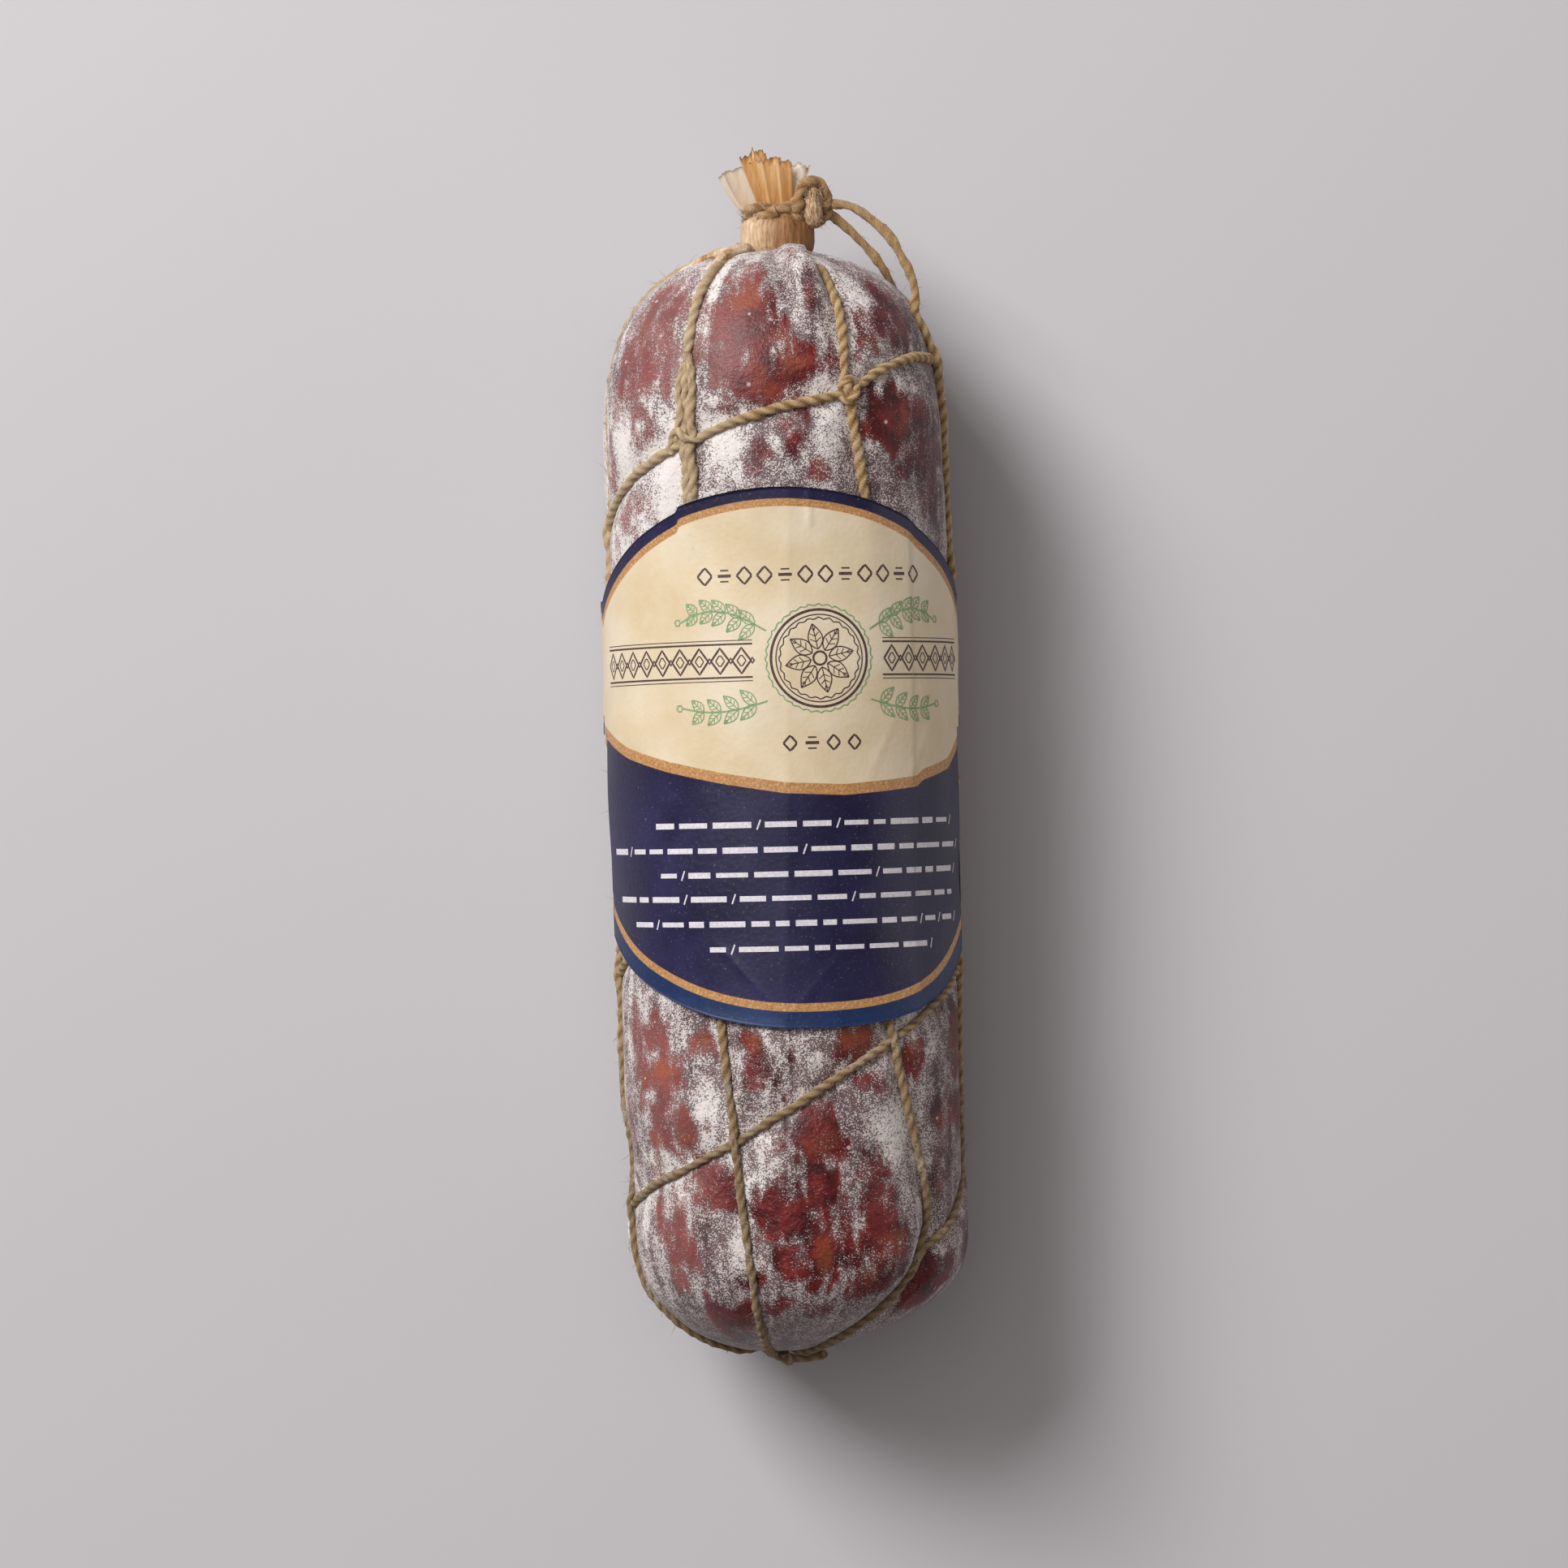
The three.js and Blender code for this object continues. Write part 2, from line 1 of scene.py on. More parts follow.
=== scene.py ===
import bpy
import itertools
import math
import numpy as np
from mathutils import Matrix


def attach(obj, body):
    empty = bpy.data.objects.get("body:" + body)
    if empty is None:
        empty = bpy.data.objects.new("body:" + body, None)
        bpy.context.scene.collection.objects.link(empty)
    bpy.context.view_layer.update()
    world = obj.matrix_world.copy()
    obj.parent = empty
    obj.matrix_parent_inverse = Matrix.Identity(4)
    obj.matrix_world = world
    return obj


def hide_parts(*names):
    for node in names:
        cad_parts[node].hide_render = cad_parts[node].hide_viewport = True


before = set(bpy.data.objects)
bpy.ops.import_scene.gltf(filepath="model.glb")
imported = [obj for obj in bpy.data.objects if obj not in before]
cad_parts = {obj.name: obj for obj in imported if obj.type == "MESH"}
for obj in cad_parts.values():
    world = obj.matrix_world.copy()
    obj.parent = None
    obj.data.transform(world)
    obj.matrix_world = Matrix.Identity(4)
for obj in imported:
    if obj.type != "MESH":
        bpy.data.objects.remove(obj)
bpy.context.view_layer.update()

# The view: straight down on the table from 0.75 m above the sausage's axis, turned by 1.4 degrees
# so that the tied end leans a little to the left, as in the photograph.
CAMERA_HEIGHT = 0.779
CAMERA_TURN = -1.41
CAMERA_LENS = 102.0

camera_data = bpy.data.cameras.new("view_camera")
camera_data.lens = CAMERA_LENS
camera = bpy.data.objects.new("view_camera", camera_data)
camera.location = (0, 0, CAMERA_HEIGHT)
camera.rotation_euler = (0, 0, math.radians(CAMERA_TURN))
bpy.context.collection.objects.link(camera)
bpy.context.scene.camera = camera


# The salami itself: cured pork in a natural casing, swollen between the strings, gathered into
# pleats at the neck and puckered at the heel. A dry white bloom covers it, thick along the
# strings and rubbed thin over dark red windows of meat. It lies on the table on its own flat.
BODY_RADIUS = 28.4
AXIS_HEIGHT = 28.6
TOP_END_Y = 89.8
BOTTOM_END_Y = -96.0
SHOULDER_LENGTH = 35.2
SHOULDER_POWER = 0.415
HEEL_LENGTH = 24
HEEL_POWER = 0.69
HEEL_SHIFT = -3.0
HEEL_SHIFT_LENGTH = 16
PUCKER_DEPTH = 2.2
PUCKER_RADIUS = 8

# Lengthwise strings: places along Y with their angles in degrees from the top towards +X
STRINGS = {
    "left_edge": [(-92, -78), (-50, -83), (84, -84)],
    "left_front": [(-92, -13), (-58, -19), (-40, -23), (45, -31), (84, -31)],
    "right_front": [(-92, 34), (-80, 47), (-73, 52), (-60, 45), (-39, 34), (46, 30), (66, 24), (84, 27)],
    "right_edge": [(-92, 39.8), (-82, 45.3), (-80, 47.3), (-77.3, 51), (-75.2, 58), (-70.7, 72), (-66, 84),
                   (48, 84), (62, 77), (84, 76)],
    "back_right": [(-92, 147), (45, 147), (62, 132), (76, 114), (84, 102)],
    "back_left": [(-92, 213), (84, 213)],
}

# Hoops: the Y at which each crosses the six strings, and its bow in between
HOOPS = [
    ((43.5, 56.2, 63.6, 70, 66, 52), (0.9, 0.8, 2.6, 1, 0, 0)),
    ((8, 18.5, 27, 35, 31, 17), (0, 0, 0, 1, 0, 0)),
    ((-31, -20, -8, 0, -4, -20), (0, 0, 0, 1, 0, 0)),
    ((-70, -58.3, -42.2, -31, -37, -57), (-0.5, 0, 0.6, 1, 0, 0)),
]


def smooth(t):
    t = np.clip(t, 0, 1)
    return t * t * (3 - 2 * t)


def soft_noise(places, seed):
    """Smooth random values from -1 to 1 over any number of places, one lump to a unit."""
    table = np.random.default_rng(seed).uniform(-1, 1, (32, 32, 32))
    low = np.floor(places).astype(int)
    share = smooth(places - low)
    total = np.zeros(places.shape[:-1])
    for corner in itertools.product((0, 1), repeat=3):
        weight = np.prod(np.where(corner, share, 1 - share), axis=-1)
        cell = (low + np.array(corner)) % 32
        total += weight * table[cell[..., 0], cell[..., 1], cell[..., 2]]
    return total


def sausage_radius(y):
    """Radius of the smooth sausage: straight belly, high shoulder and softer heel."""
    shoulder = np.clip((TOP_END_Y - y) / SHOULDER_LENGTH, 0, 1)
    heel = np.clip((y - BOTTOM_END_Y) / HEEL_LENGTH, 0, 1)
    rounded = (1 - (1 - shoulder) ** 3) ** SHOULDER_POWER
    return BODY_RADIUS * rounded * (1 - (1 - heel) ** 3) ** HEEL_POWER


def string_angle(name, y):
    places, angles = zip(*STRINGS[name])
    return np.interp(y, places, angles)


def hoop_height(index, angle):
    """The Y of a hoop at an angle, with a small jog where it is hitched to each string."""
    crossings, bows = HOOPS[index]
    at = [float(string_angle(name, y)) for name, y in zip(STRINGS, crossings)]
    turned = (angle - at[0]) % 360 + at[0]
    knots = [*at, at[0] + 360]
    heights = np.interp(turned, knots, [*crossings, crossings[0]])
    for first, last, bow in zip(knots, knots[1:], bows):
        share = np.clip((turned - first) / (last - first), 0, 1)
        heights = heights + bow * np.sin(math.pi * share)
    return heights


def turn_between(first, second):
    """Angle from the second to the first in degrees, from -180 to 180."""
    return (first - second + 180) % 360 - 180


def from_strings(angle, y):
    """Distance in mm round the curve to the nearest lengthwise string."""
    radius = np.maximum(sausage_radius(y), 4)
    gaps = [np.abs(turn_between(angle, string_angle(name, y))) for name in STRINGS]
    return np.radians(np.min(gaps, axis=0)) * radius


def from_hoops(angle, y):
    """Distance in mm to the nearest hoop, which slants across the sausage."""
    slant = 0.92
    return slant * np.min([np.abs(y - hoop_height(i, angle)) for i in range(len(HOOPS))], axis=0)


# Pleats of the casing at the neck: angle, depth in mm and width in degrees
NECK_CREASES = [
    (-72, 0.9, 7), (-52, 1.3, 6), (-41, 0.7, 5), (-16, 0.9, 6), (4.5, 2.2, 4.5), (36, 1.0, 6),
    (44, 1.2, 6), (58, 0.8, 5), (74, 1.2, 7), (98, 1.4, 7), (121, 1.1, 8), (146, 1.5, 7),
    (172, 1.1, 8), (196, 1.4, 7), (221, 1.0, 8), (246, 1.3, 7), (266, 0.9, 6),
]
NECK_CREASE_LENGTH = 8.5
FOLD_X = 3.2
FOLD_SLANT = 0.33
FOLD_HALF_WIDTH = 3.5
FOLD_HEIGHT = 2.2
FOLD_REACH = 1.1
FOLD_LENGTH = 15
GROOVE_DEPTH = 1.3
GROOVE_WIDTH = 1.1

SWELL_HEIGHT = 0.55
SWELL_LENGTH = 19
DENT_DEPTH = 0.24
DENT_LENGTH = 7.5
HOOP_FLAT = 1.3
PULLED_RIPPLE = 0.13
NECK_WRINKLE = 0.16
PILLOW = 1.0
STRING_BITE = 0.35
VALLEY_WIDTH = 3.6
PINCH_DEPTH = 1.5
HEEL_DRAW = 1.2


def meat_surface(angle, y):
    """Where the casing lies, in mm, at an angle in degrees and a Y."""
    radius = sausage_radius(y)
    theta = np.radians(angle)
    smooth_place = np.stack([radius * np.sin(theta), y, radius * np.cos(theta)], axis=-1)
    full = smooth((radius / BODY_RADIUS - 0.13) / 0.87)
    near_string = np.exp(-((from_strings(angle, y) / VALLEY_WIDTH) ** 1.5))
    near_hoop = np.exp(-((from_hoops(angle, y) / VALLEY_WIDTH) ** 1.5))
    valley = np.maximum(near_string, near_hoop)
    lift = (PILLOW + STRING_BITE) * (1 - valley) * full - STRING_BITE * full
    lift += full * SWELL_HEIGHT * soft_noise(smooth_place / SWELL_LENGTH, 11)
    lift += full * (1 - 0.6 * valley) * DENT_DEPTH * soft_noise(smooth_place / DENT_LENGTH, 12)
    stretched = np.stack([theta * 28 / 2.3, y / 13, radius / 9], axis=-1)
    lift += full * 0.10 * soft_noise(stretched, 13)
    under = np.abs((angle + 360) % 360 - 180)
    lift -= HOOP_FLAT * smooth(2 - under / 22) * near_hoop
    neck = TOP_END_Y - y
    for at, depth, width in NECK_CREASES:
        off = turn_between(angle, at)
        lift -= depth * np.exp(-((off / width) ** 2)) * np.exp(-neck / NECK_CREASE_LENGTH) * smooth(neck / 1.2)
    across = radius * np.sin(theta) - FOLD_X - FOLD_SLANT * neck
    fold = smooth(1.5 * (1 - np.abs(across) / FOLD_HALF_WIDTH)) * smooth(1.35 - 1.35 * neck / FOLD_LENGTH)
    fold = fold * (np.cos(theta) > 0) * smooth(neck / 1.2)
    lift += fold * FOLD_HEIGHT * (0.55 + 0.45 * np.exp(-neck / 5))
    beside = np.radians(np.abs(turn_between(angle, string_angle("right_front", y)))) * radius
    lift -= GROOVE_DEPTH * np.exp(-((beside / GROOVE_WIDTH) ** 2)) * smooth((y - 76) / 5) * smooth(neck / 2)
    lift -= PINCH_DEPTH * np.exp(-((beside / 2.6) ** 2)) * smooth((-66 - y) / 10) * full
    pulled = np.cos(beside * 3.4) * np.exp(-((beside - 2.6) / 2.4) ** 2) * smooth((-64 - y) / 8)
    lift += PULLED_RIPPLE * pulled * full
    drawn_in = smooth((-50 - y) / 14) * smooth((y + 95) / 7) * smooth((-np.sin(theta) - 0.35) / 0.55)
    lift -= HEEL_DRAW * drawn_in
    wrinkles = soft_noise(np.stack([theta * 13, y / 6 + 5, 0 * y], axis=-1), 14)
    lift += NECK_WRINKLE * wrinkles * np.exp(-neck / 8) * smooth(neck / 1.5)
    size = radius + lift
    shift = HEEL_SHIFT * np.clip((BOTTOM_END_Y + HEEL_SHIFT_LENGTH - y) / HEEL_SHIFT_LENGTH, 0, 1) ** 1.5
    pucker = np.where(y < 0, PUCKER_DEPTH * smooth(1 - radius / PUCKER_RADIUS), 0)
    place_z = np.maximum(AXIS_HEIGHT + size * np.cos(theta), 0.0)
    return np.stack([shift + size * np.sin(theta), y + pucker + fold * FOLD_REACH, place_z], axis=-1)


def meat_normal(angle, y):
    """Outward direction of the casing there."""
    small_angle, small_y = 1.5, 0.4
    high = np.minimum(y + small_y, TOP_END_Y - 0.3)
    low = np.maximum(y - small_y, BOTTOM_END_Y + 0.15)
    along = meat_surface(angle, high) - meat_surface(angle, low)
    around = meat_surface(angle + small_angle, y) - meat_surface(angle - small_angle, y)
    out = np.cross(along, -around)
    return out / np.linalg.norm(out, axis=-1, keepdims=True)


def linear(code, alpha=1.0):
    """Linear colour of an sRGB hex code."""
    parts = [int(code[i:i + 2], 16) / 255 for i in (1, 3, 5)]
    return (*[p / 12.92 if p <= 0.04045 else ((p + 0.055) / 1.055) ** 2.4 for p in parts], alpha)


def new_material(name):
    material = bpy.data.materials.new(name)
    material.use_nodes = True
    material.node_tree.nodes.clear()
    return material


def node(material, kind, *values, out=0, **named):
    """Adds a node and returns one of its outputs.

    Values go to its inputs in order, one named i6 to input 6, and one named with a capital to the
    input of that name. Other names are settings, and stops are the places and codes of a colour
    ramp. A value may be another node's output."""
    made = material.node_tree.nodes.new("ShaderNode" + kind)
    inputs = dict(enumerate(values))
    for name, value in named.items():
        if name == "stops":
            band = made.color_ramp
            while len(band.elements) < len(value):
                band.elements.new(0.5)
            for element, (place, code) in zip(band.elements, value):
                element.position = place
                element.color = linear(code)
        elif name[0].isupper():
            inputs[name.replace("_", " ")] = value
        elif name[1:].isdigit():
            inputs[int(name[1:])] = value
        else:
            setattr(made, name, value)
    for key, value in inputs.items():
        if isinstance(value, bpy.types.NodeSocket):
            material.node_tree.links.new(value, made.inputs[key])
        else:
            made.inputs[key].default_value = value
    return made.outputs[out] if made.outputs else None


# Settings that many nodes share: a mix of two colours, and a smooth step between two limits
COLOURS = {"data_type": "RGBA", "out": 2}
SMOOTHLY = {"interpolation_type": "SMOOTHSTEP"}


def grid_faces(rows, columns, closed, start=0):
    """Quads of a grid of points; a closed one joins its last column to its first."""
    row, column = np.meshgrid(np.arange(rows - 1), np.arange(columns if closed else columns - 1), indexing="ij")
    beside = (column + 1) % columns
    corners = [row * columns + column, (row + 1) * columns + column,
               (row + 1) * columns + beside, row * columns + beside]
    return np.stack(corners, axis=-1).reshape(-1, 4) + start


def make_piece(name, points_mm, faces, material, node_names=(), slot=None, smooth_faces=True):
    """A mesh piece on the root body from points in mm and quads or triangles."""
    mesh = bpy.data.meshes.new(name)
    points = np.asarray(points_mm, float).reshape(-1, 3) * 0.001
    groups = [np.asarray(group, int) for group in (faces if isinstance(faces, list) else [faces])]
    sizes = np.concatenate([np.full(len(group), group.shape[1]) for group in groups])
    loops = np.concatenate([group.ravel() for group in groups])
    mesh.vertices.add(len(points))
    mesh.vertices.foreach_set("co", points.ravel())
    mesh.loops.add(len(loops))
    mesh.loops.foreach_set("vertex_index", loops)
    mesh.polygons.add(len(sizes))
    mesh.polygons.foreach_set("loop_start", np.concatenate([[0], np.cumsum(sizes)[:-1]]))
    mesh.polygons.foreach_set("use_smooth", np.full(len(sizes), smooth_faces))
    mesh.update()
    mesh.validate()
    mesh.materials.append(material)
    piece = bpy.data.objects.new(name, mesh)
    bpy.context.collection.objects.link(piece)
    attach(piece, "root")
    if node_names:
        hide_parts(*node_names)
    return piece


def set_values(piece, name, values):
    """Stores one number, or one vector, for each point of a piece."""
    values = np.asarray(values, np.float32)
    kind, field = ("FLOAT", "value") if values.ndim == 1 else ("FLOAT_VECTOR", "vector")
    layer = piece.data.attributes.new(name, kind, "POINT")
    layer.data.foreach_set(field, values.ravel())


BODY_ROWS = 372
BODY_COLUMNS = 262
FRONT_CROWDING = 0.42

fine_y = np.concatenate([
    TOP_END_Y - 0.35 - 20 * np.linspace(0, 1, 1500) ** 3,
    np.linspace(TOP_END_Y - 20.35, BOTTOM_END_Y + 20.2, 1500)[1:],
    BOTTOM_END_Y + 0.2 + 20 * np.linspace(1, 0, 1500)[1:] ** 3,
])
outline = np.stack([fine_y, sausage_radius(fine_y)], axis=-1)
travelled = np.concatenate([[0], np.cumsum(np.linalg.norm(np.diff(outline, axis=0), axis=1))])
row_y = np.interp(np.linspace(0, travelled[-1], BODY_ROWS), travelled, fine_y)
column_angle = np.linspace(-180, 180, BODY_COLUMNS, endpoint=False)
column_angle = column_angle - FRONT_CROWDING * np.degrees(np.sin(np.radians(column_angle)))
body_angle, body_y = np.meshgrid(column_angle, row_y)
body_points = meat_surface(body_angle, body_y)
neck_middle = body_points[0].mean(axis=0)
heel_middle = body_points[-1].mean(axis=0) + (0, 0.3, 0)
body_faces = grid_faces(BODY_ROWS, BODY_COLUMNS, True)
count = BODY_ROWS * BODY_COLUMNS
ring = np.arange(BODY_COLUMNS)
after = (ring + 1) % BODY_COLUMNS
last_ring = count - BODY_COLUMNS
body_caps = np.concatenate([
    np.stack([np.full(BODY_COLUMNS, count), ring, after], axis=-1),
    np.stack([np.full(BODY_COLUMNS, count + 1), last_ring + after, last_ring + ring], axis=-1),
])

# Red windows in the bloom: place round the curve in mm and along Y, half width, half length,
# and how open the window is
WINDOWS = [
    (-6, 74.5, 7.0, 8.5, 1.0), (3.6, 67.8, 2.8, 5.2, 1.2), (-0.6, 72, 3.2, 3.6, 1.0),
    (-1.6, 66, 4.6, 3.6, 1.1), (-4.6, 77.4, 3.6, 3.8, 1.25), (-25, 76, 6.2, 8.0, 0.85),
    (-20.5, 68.5, 4.2, 4.5, 0.9), (-28, 68, 4, 6, 0.9), (-26, 58.0, 3.2, 2.8, 0.95),
    (-31, 62, 2.2, 6, 0.45), (-37, 56.2, 2.2, 5, 0.5), (7.8, 81.6, 1.7, 2.8, 0.5),
    (5.5, 87.5, 1.6, 1.0, 0.6), (20.7, 76.2, 4.2, 3.2, 0.8), (26, 79, 2.8, 3.6, 0.8),
    (17.3, 72.4, 2.6, 1.8, 0.8), (25.3, 72.8, 2.6, 2.8, 0.8), (20.4, 59.5, 4.8, 5.0, 1.2),
    (27.5, 58.7, 3.8, 5.5, 0.9), (32.6, 55.3, 2.6, 5, 0.8), (24.8, 51.2, 3.0, 2.6, 0.7),
    (31.5, 48.7, 2.2, 3.0, 0.5), (-3.4, 53.6, 1.7, 2.2, 0.9), (1.2, 59.4, 1.4, 2.2, 0.45),
    (3.2, 54.6, 2.1, 2.2, 1.0), (-10.2, 50.4, 1.4, 1.8, 0.9), (-7.9, 62, 1.2, 2.8, 0.9),
    (8.2, 50.3, 1.9, 1.6, 0.55), (-29.3, 44.5, 5.0, 3.8, 0.5), (-23.5, 45.6, 2.6, 2.2, 0.35),
    (-36, 38.7, 2.6, 3, 0.5), (29, 44.5, 2.4, 2.0, 0.45), (-30.4, -42.2, 2.3, 4.4, 1.0),
    (-25, -40.8, 3.4, 3.4, 1.0), (-23.6, -50.8, 4.0, 7.8, 1.1), (-20.4, -57, 4.6, 3.2, 1.1),
    (-15.2, -42.2, 2.4, 2.4, 0.9), (-6.2, -42.2, 1.8, 2.0, 0.9), (-5.0, -46.6, 3.0, 2.8, 0.85),
    (9.6, -42.0, 3.0, 3.6, 1.0), (22.6, -44.7, 1.9, 3.3, 0.9), (2.3, -57.0, 4.2, 4.2, 1.2),
    (5.9, -60, 2.4, 3.8, 1.2), (4.0, -66.6, 2.8, 4.6, 1.2), (-1, -70, 5.2, 4.2, 1.2),
    (3.6, -74, 4.2, 3.6, 1.1), (12.3, -65.7, 2.1, 4.6, 1.1), (14.2, -73, 3.6, 3.6, 1.0),
    (-14.3, -64.7, 4.2, 2.7, 1.0), (-12.6, -68.2, 2.3, 2.3, 1.0), (-23.5, -72, 3.6, 5, 1.0),
    (-20, -76, 3.2, 3.6, 1.0), (-13.5, -86.8, 5.0, 2.6, 1.2), (27.5, -83, 5, 3.6, 1.2),
    (-2.7, -85.2, 2.2, 1.5, 0.7), (12.3, -82.2, 2.6, 1.6, 0.55), (17.3, -80.2, 2.0, 1.9, 0.9),
    (29, -53, 2.2, 3.4, 0.6), (34.5, -53, 2.6, 5, 0.8), (27.3, -64.7, 2.0, 3.6, 0.4),
    (-34, -54, 1.6, 4, 0.3), (35.5, -41, 2.3, 5, 0.8), (31, -36.5, 2, 3, 0.35), (-28, -64, 2, 3, 0.45),
    (6.5, -80.2, 1.6, 1.2, 0.9), (2.2, -80.8, 1.1, 1.0, 0.9), (-8.5, -79, 2.2, 1.6, 0.7),
    (-22, -82, 2.0, 2.0, 0.4), (8.6, -45.8, 2.2, 1.8, 0.6), (13.6, -47.5, 2.6, 1.6, 0.5),
    (5, -70.5, 3, 2, 0.5), (8.4, -72.5, 1.8, 2, 0.6), (0.6, -76, 1.8, 2, 0.6),
    (5, -84.8, 3.6, 1.2, 0.4), (-1, -77.6, 2.4, 1.8, 0.9), (8.8, -77.5, 2.2, 1.8, 0.8),
    (14.4, -78, 2.2, 1.8, 1.0), (8.4, -70, 1.6, 3, 0.6), (9.8, 68, 1.7, 4.5, 1.0),
    (8.6, 61.8, 1.8, 1.3, 0.7), (15.4, 70.5, 1.6, 1.4, 0.5),
]
# Thick patches of bloom, in the same terms
PATCHES = [
    (-9.8, 53.5, 2.8, 5.5, 0.6), (-18.8, 52, 2.2, 6.5, 0.6), (5.8, 80.5, 2.0, 4.5, 0.3),
    (-12.6, 78, 1.3, 7.5, 0.5), (6.5, 86, 2.4, 2.4, 0.2), (18.8, 79.5, 1.5, 5.0, 0.38),
    (-4.8, 51.5, 1.8, 1.8, 0.45), (16, 61.5, 1.2, 2.8, 0.35), (-13, 46.8, 2, 1.8, 0.4),
    (-17.6, 66, 1.1, 4, 0.35), (-1.6, -66.6, 1.6, 1.5, 0.35), (13.6, -62, 1.2, 2, 0.3),
    (-9.2, 62.5, 2.0, 1.8, 0.4), (-1.5, 55.6, 1.3, 1.5, 0.5), (9.6, 58, 2.4, 7, 0.4),
    (4.8, 64.3, 3.4, 1.6, 0.5), (-15.4, -54.5, 2.1, 5.0, 0.6), (-4.8, -62, 2.0, 3.4, 0.4),
    (-22, -68, 2.6, 2.2, 0.45), (-6.6, -67, 1.8, 2.6, 0.5), (-9.8, -76.5, 1.8, 2.6, 0.4),
    (-4, -57.5, 1.8, 1.5, 0.5), (3.4, -46.5, 1.6, 1.8, 0.4), (10.8, -65, 1.2, 2.6, 0.5),
    (17, -58, 3.4, 5.5, 0.35), (-27, -61.5, 3.0, 1.8, 0.35), (-31, 54, 2.0, 6, 0.5),
    (-9.6, -84, 2.2, 1.4, 0.35),
]
# Fat that shows orange through the casing, in the same terms
FAT_SPOTS = [
    (-6, 80.4, 3.0, 2.0, 0.9), (1.5, 72, 1.6, 1.6, 0.7), (2.7, 69.3, 2.2, 1.6, 0.8),
    (-1.5, 65.5, 2.2, 1.6, 0.6), (23.2, 58.2, 1.7, 1.5, 0.6), (-23.5, -45.8, 3.2, 1.3, 1.4),
    (-15.2, -42.2, 2.0, 2.0, 0.8), (-6.2, -42.6, 1.5, 1.8, 0.8), (9.8, -41, 2.6, 3.2, 0.9),
    (-26, -57.8, 1.6, 0.9, 1.0), (-18.5, -58, 1.4, 1.1, 0.8), (4.0, -75, 1.5, 3.0, 0.9),
    (3.5, -59, 3.0, 1.6, 0.5), (16.5, -74, 1.8, 1.6, 0.7), (22.6, -43.5, 1.4, 1.6, 0.6),
    (-27, 74, 3, 3, 0.35), (17.3, 72.4, 2.2, 1.4, 0.6), (-28.5, -50, 0.9, 4, 0.7),
    (12.5, -80, 1.3, 1.6, 0.6),
]


def spots(arc, y, places, ragged):
    """How much of the named places covers each point, with ragged, faded edges."""
    total = np.zeros(arc.shape)
    for at, along, half_width, half_length, strength in places:
        off = np.hypot((arc - at) / half_width, (y - along) / half_length) + ragged
        total = np.maximum(total, strength * smooth(1.62 - 1.05 * off))
    return total


def unseen_places(seed, amount):
    """Further places of the same kind on the sides and back, evenly spread."""
    random = np.random.default_rng(seed)
    places = []
    while len(places) < amount:
        at, along = random.uniform(40, 138), random.uniform(-88, 86)
        if all(math.hypot(at - other[0], along - other[1]) > 9 for other in places):
            size = random.uniform(2.2, 5.0)
            places.append((at, along, size, size * random.uniform(0.8, 1.7), random.uniform(0.7, 1.2)))
    return places


body_arc = np.radians(body_angle) * 29.4
back_arc = np.where(body_arc < 0, body_arc + 2 * math.pi * 29.4, body_arc)
flat_place = np.stack([body_arc / 5.5, body_y / 8.5, np.zeros_like(body_y)], axis=-1)
fine_place = np.stack([body_arc / 2.1, body_y / 3.4, np.zeros_like(body_y)], axis=-1)
streak_place = np.stack([body_arc / 1.1, body_y / 5.5, np.zeros_like(body_y)], axis=-1)
broad = soft_noise(flat_place, 21)
medium = soft_noise(fine_place, 22)
small = soft_noise(streak_place * (1.7, 2.6, 1), 23)
streaks = soft_noise(streak_place, 24)
tiny = soft_noise(np.stack([body_arc / 0.9, body_y / 1.3, np.zeros_like(body_y)], axis=-1), 28)
near_end = 1 - smooth((sausage_radius(body_y) / BODY_RADIUS - 0.5) / 0.4)
medium += near_end * (soft_noise(body_points / 2.6, 22) - medium)
small += near_end * (soft_noise(body_points / 1.2, 23) - small)
streaks *= 1 - 0.75 * near_end
tiny += near_end * (soft_noise(body_points / 0.75, 28) - tiny)
ragged = 0.30 * medium + 0.26 * small + 0.16 * tiny
drift = np.stack([body_arc / 4.2, body_y / 5.0, np.zeros_like(body_y)], axis=-1)
body_arc = body_arc + 1.5 * soft_noise(drift, 26)
drifted_y = body_y + 2.0 * soft_noise(drift + 40, 27)
from_twine = np.minimum(from_strings(body_angle, body_y), from_hoops(body_angle, body_y))
valley_bloom = np.exp(-(from_twine / 1.9) ** 2)
bloom = 0.58 + 0.16 * broad + 0.17 * medium + 0.15 * small + 0.10 * streaks + 0.08 * tiny
bloom += 0.14 * streaks * smooth((np.abs(body_arc) - 18) / 12)
bloom += 0.26 * valley_bloom
bloom += 1.15 * spots(body_arc, drifted_y, PATCHES, ragged)
unseen_windows = 0.9 * spots(back_arc, drifted_y, unseen_places(31, 60), ragged)
windows = np.maximum(spots(body_arc, drifted_y, WINDOWS, ragged), unseen_windows)
bloom -= 0.60 * windows
# More bloom along the left edge, over the upper left and upper middle and towards the neck, less on the right; the
# lighter left and darker right are partly real bloom and partly painted light from the window on the left
bloom += 0.24 * smooth((-36 - body_arc) / 8) * (body_arc > -60)
bloom += 0.24 * smooth((-14 - body_arc) / 7) * (body_arc > -60) * smooth((68 - body_y) / 8) * (body_y > 0)
bloom += 0.10 * smooth((15 - np.abs(body_arc)) / 5) * smooth((80 - body_y) / 6) * (body_y > 0)
bloom += 0.2 * smooth((body_y - 80) / 8) - 0.06 * smooth((body_arc - 20) / 12)
bloom += 0.15 * smooth((-12 - body_arc) / 12)
fat = spots(body_arc, drifted_y, FAT_SPOTS, ragged)
fat = np.maximum(fat, 0.8 * spots(back_arc, drifted_y, unseen_places(32, 22), ragged))
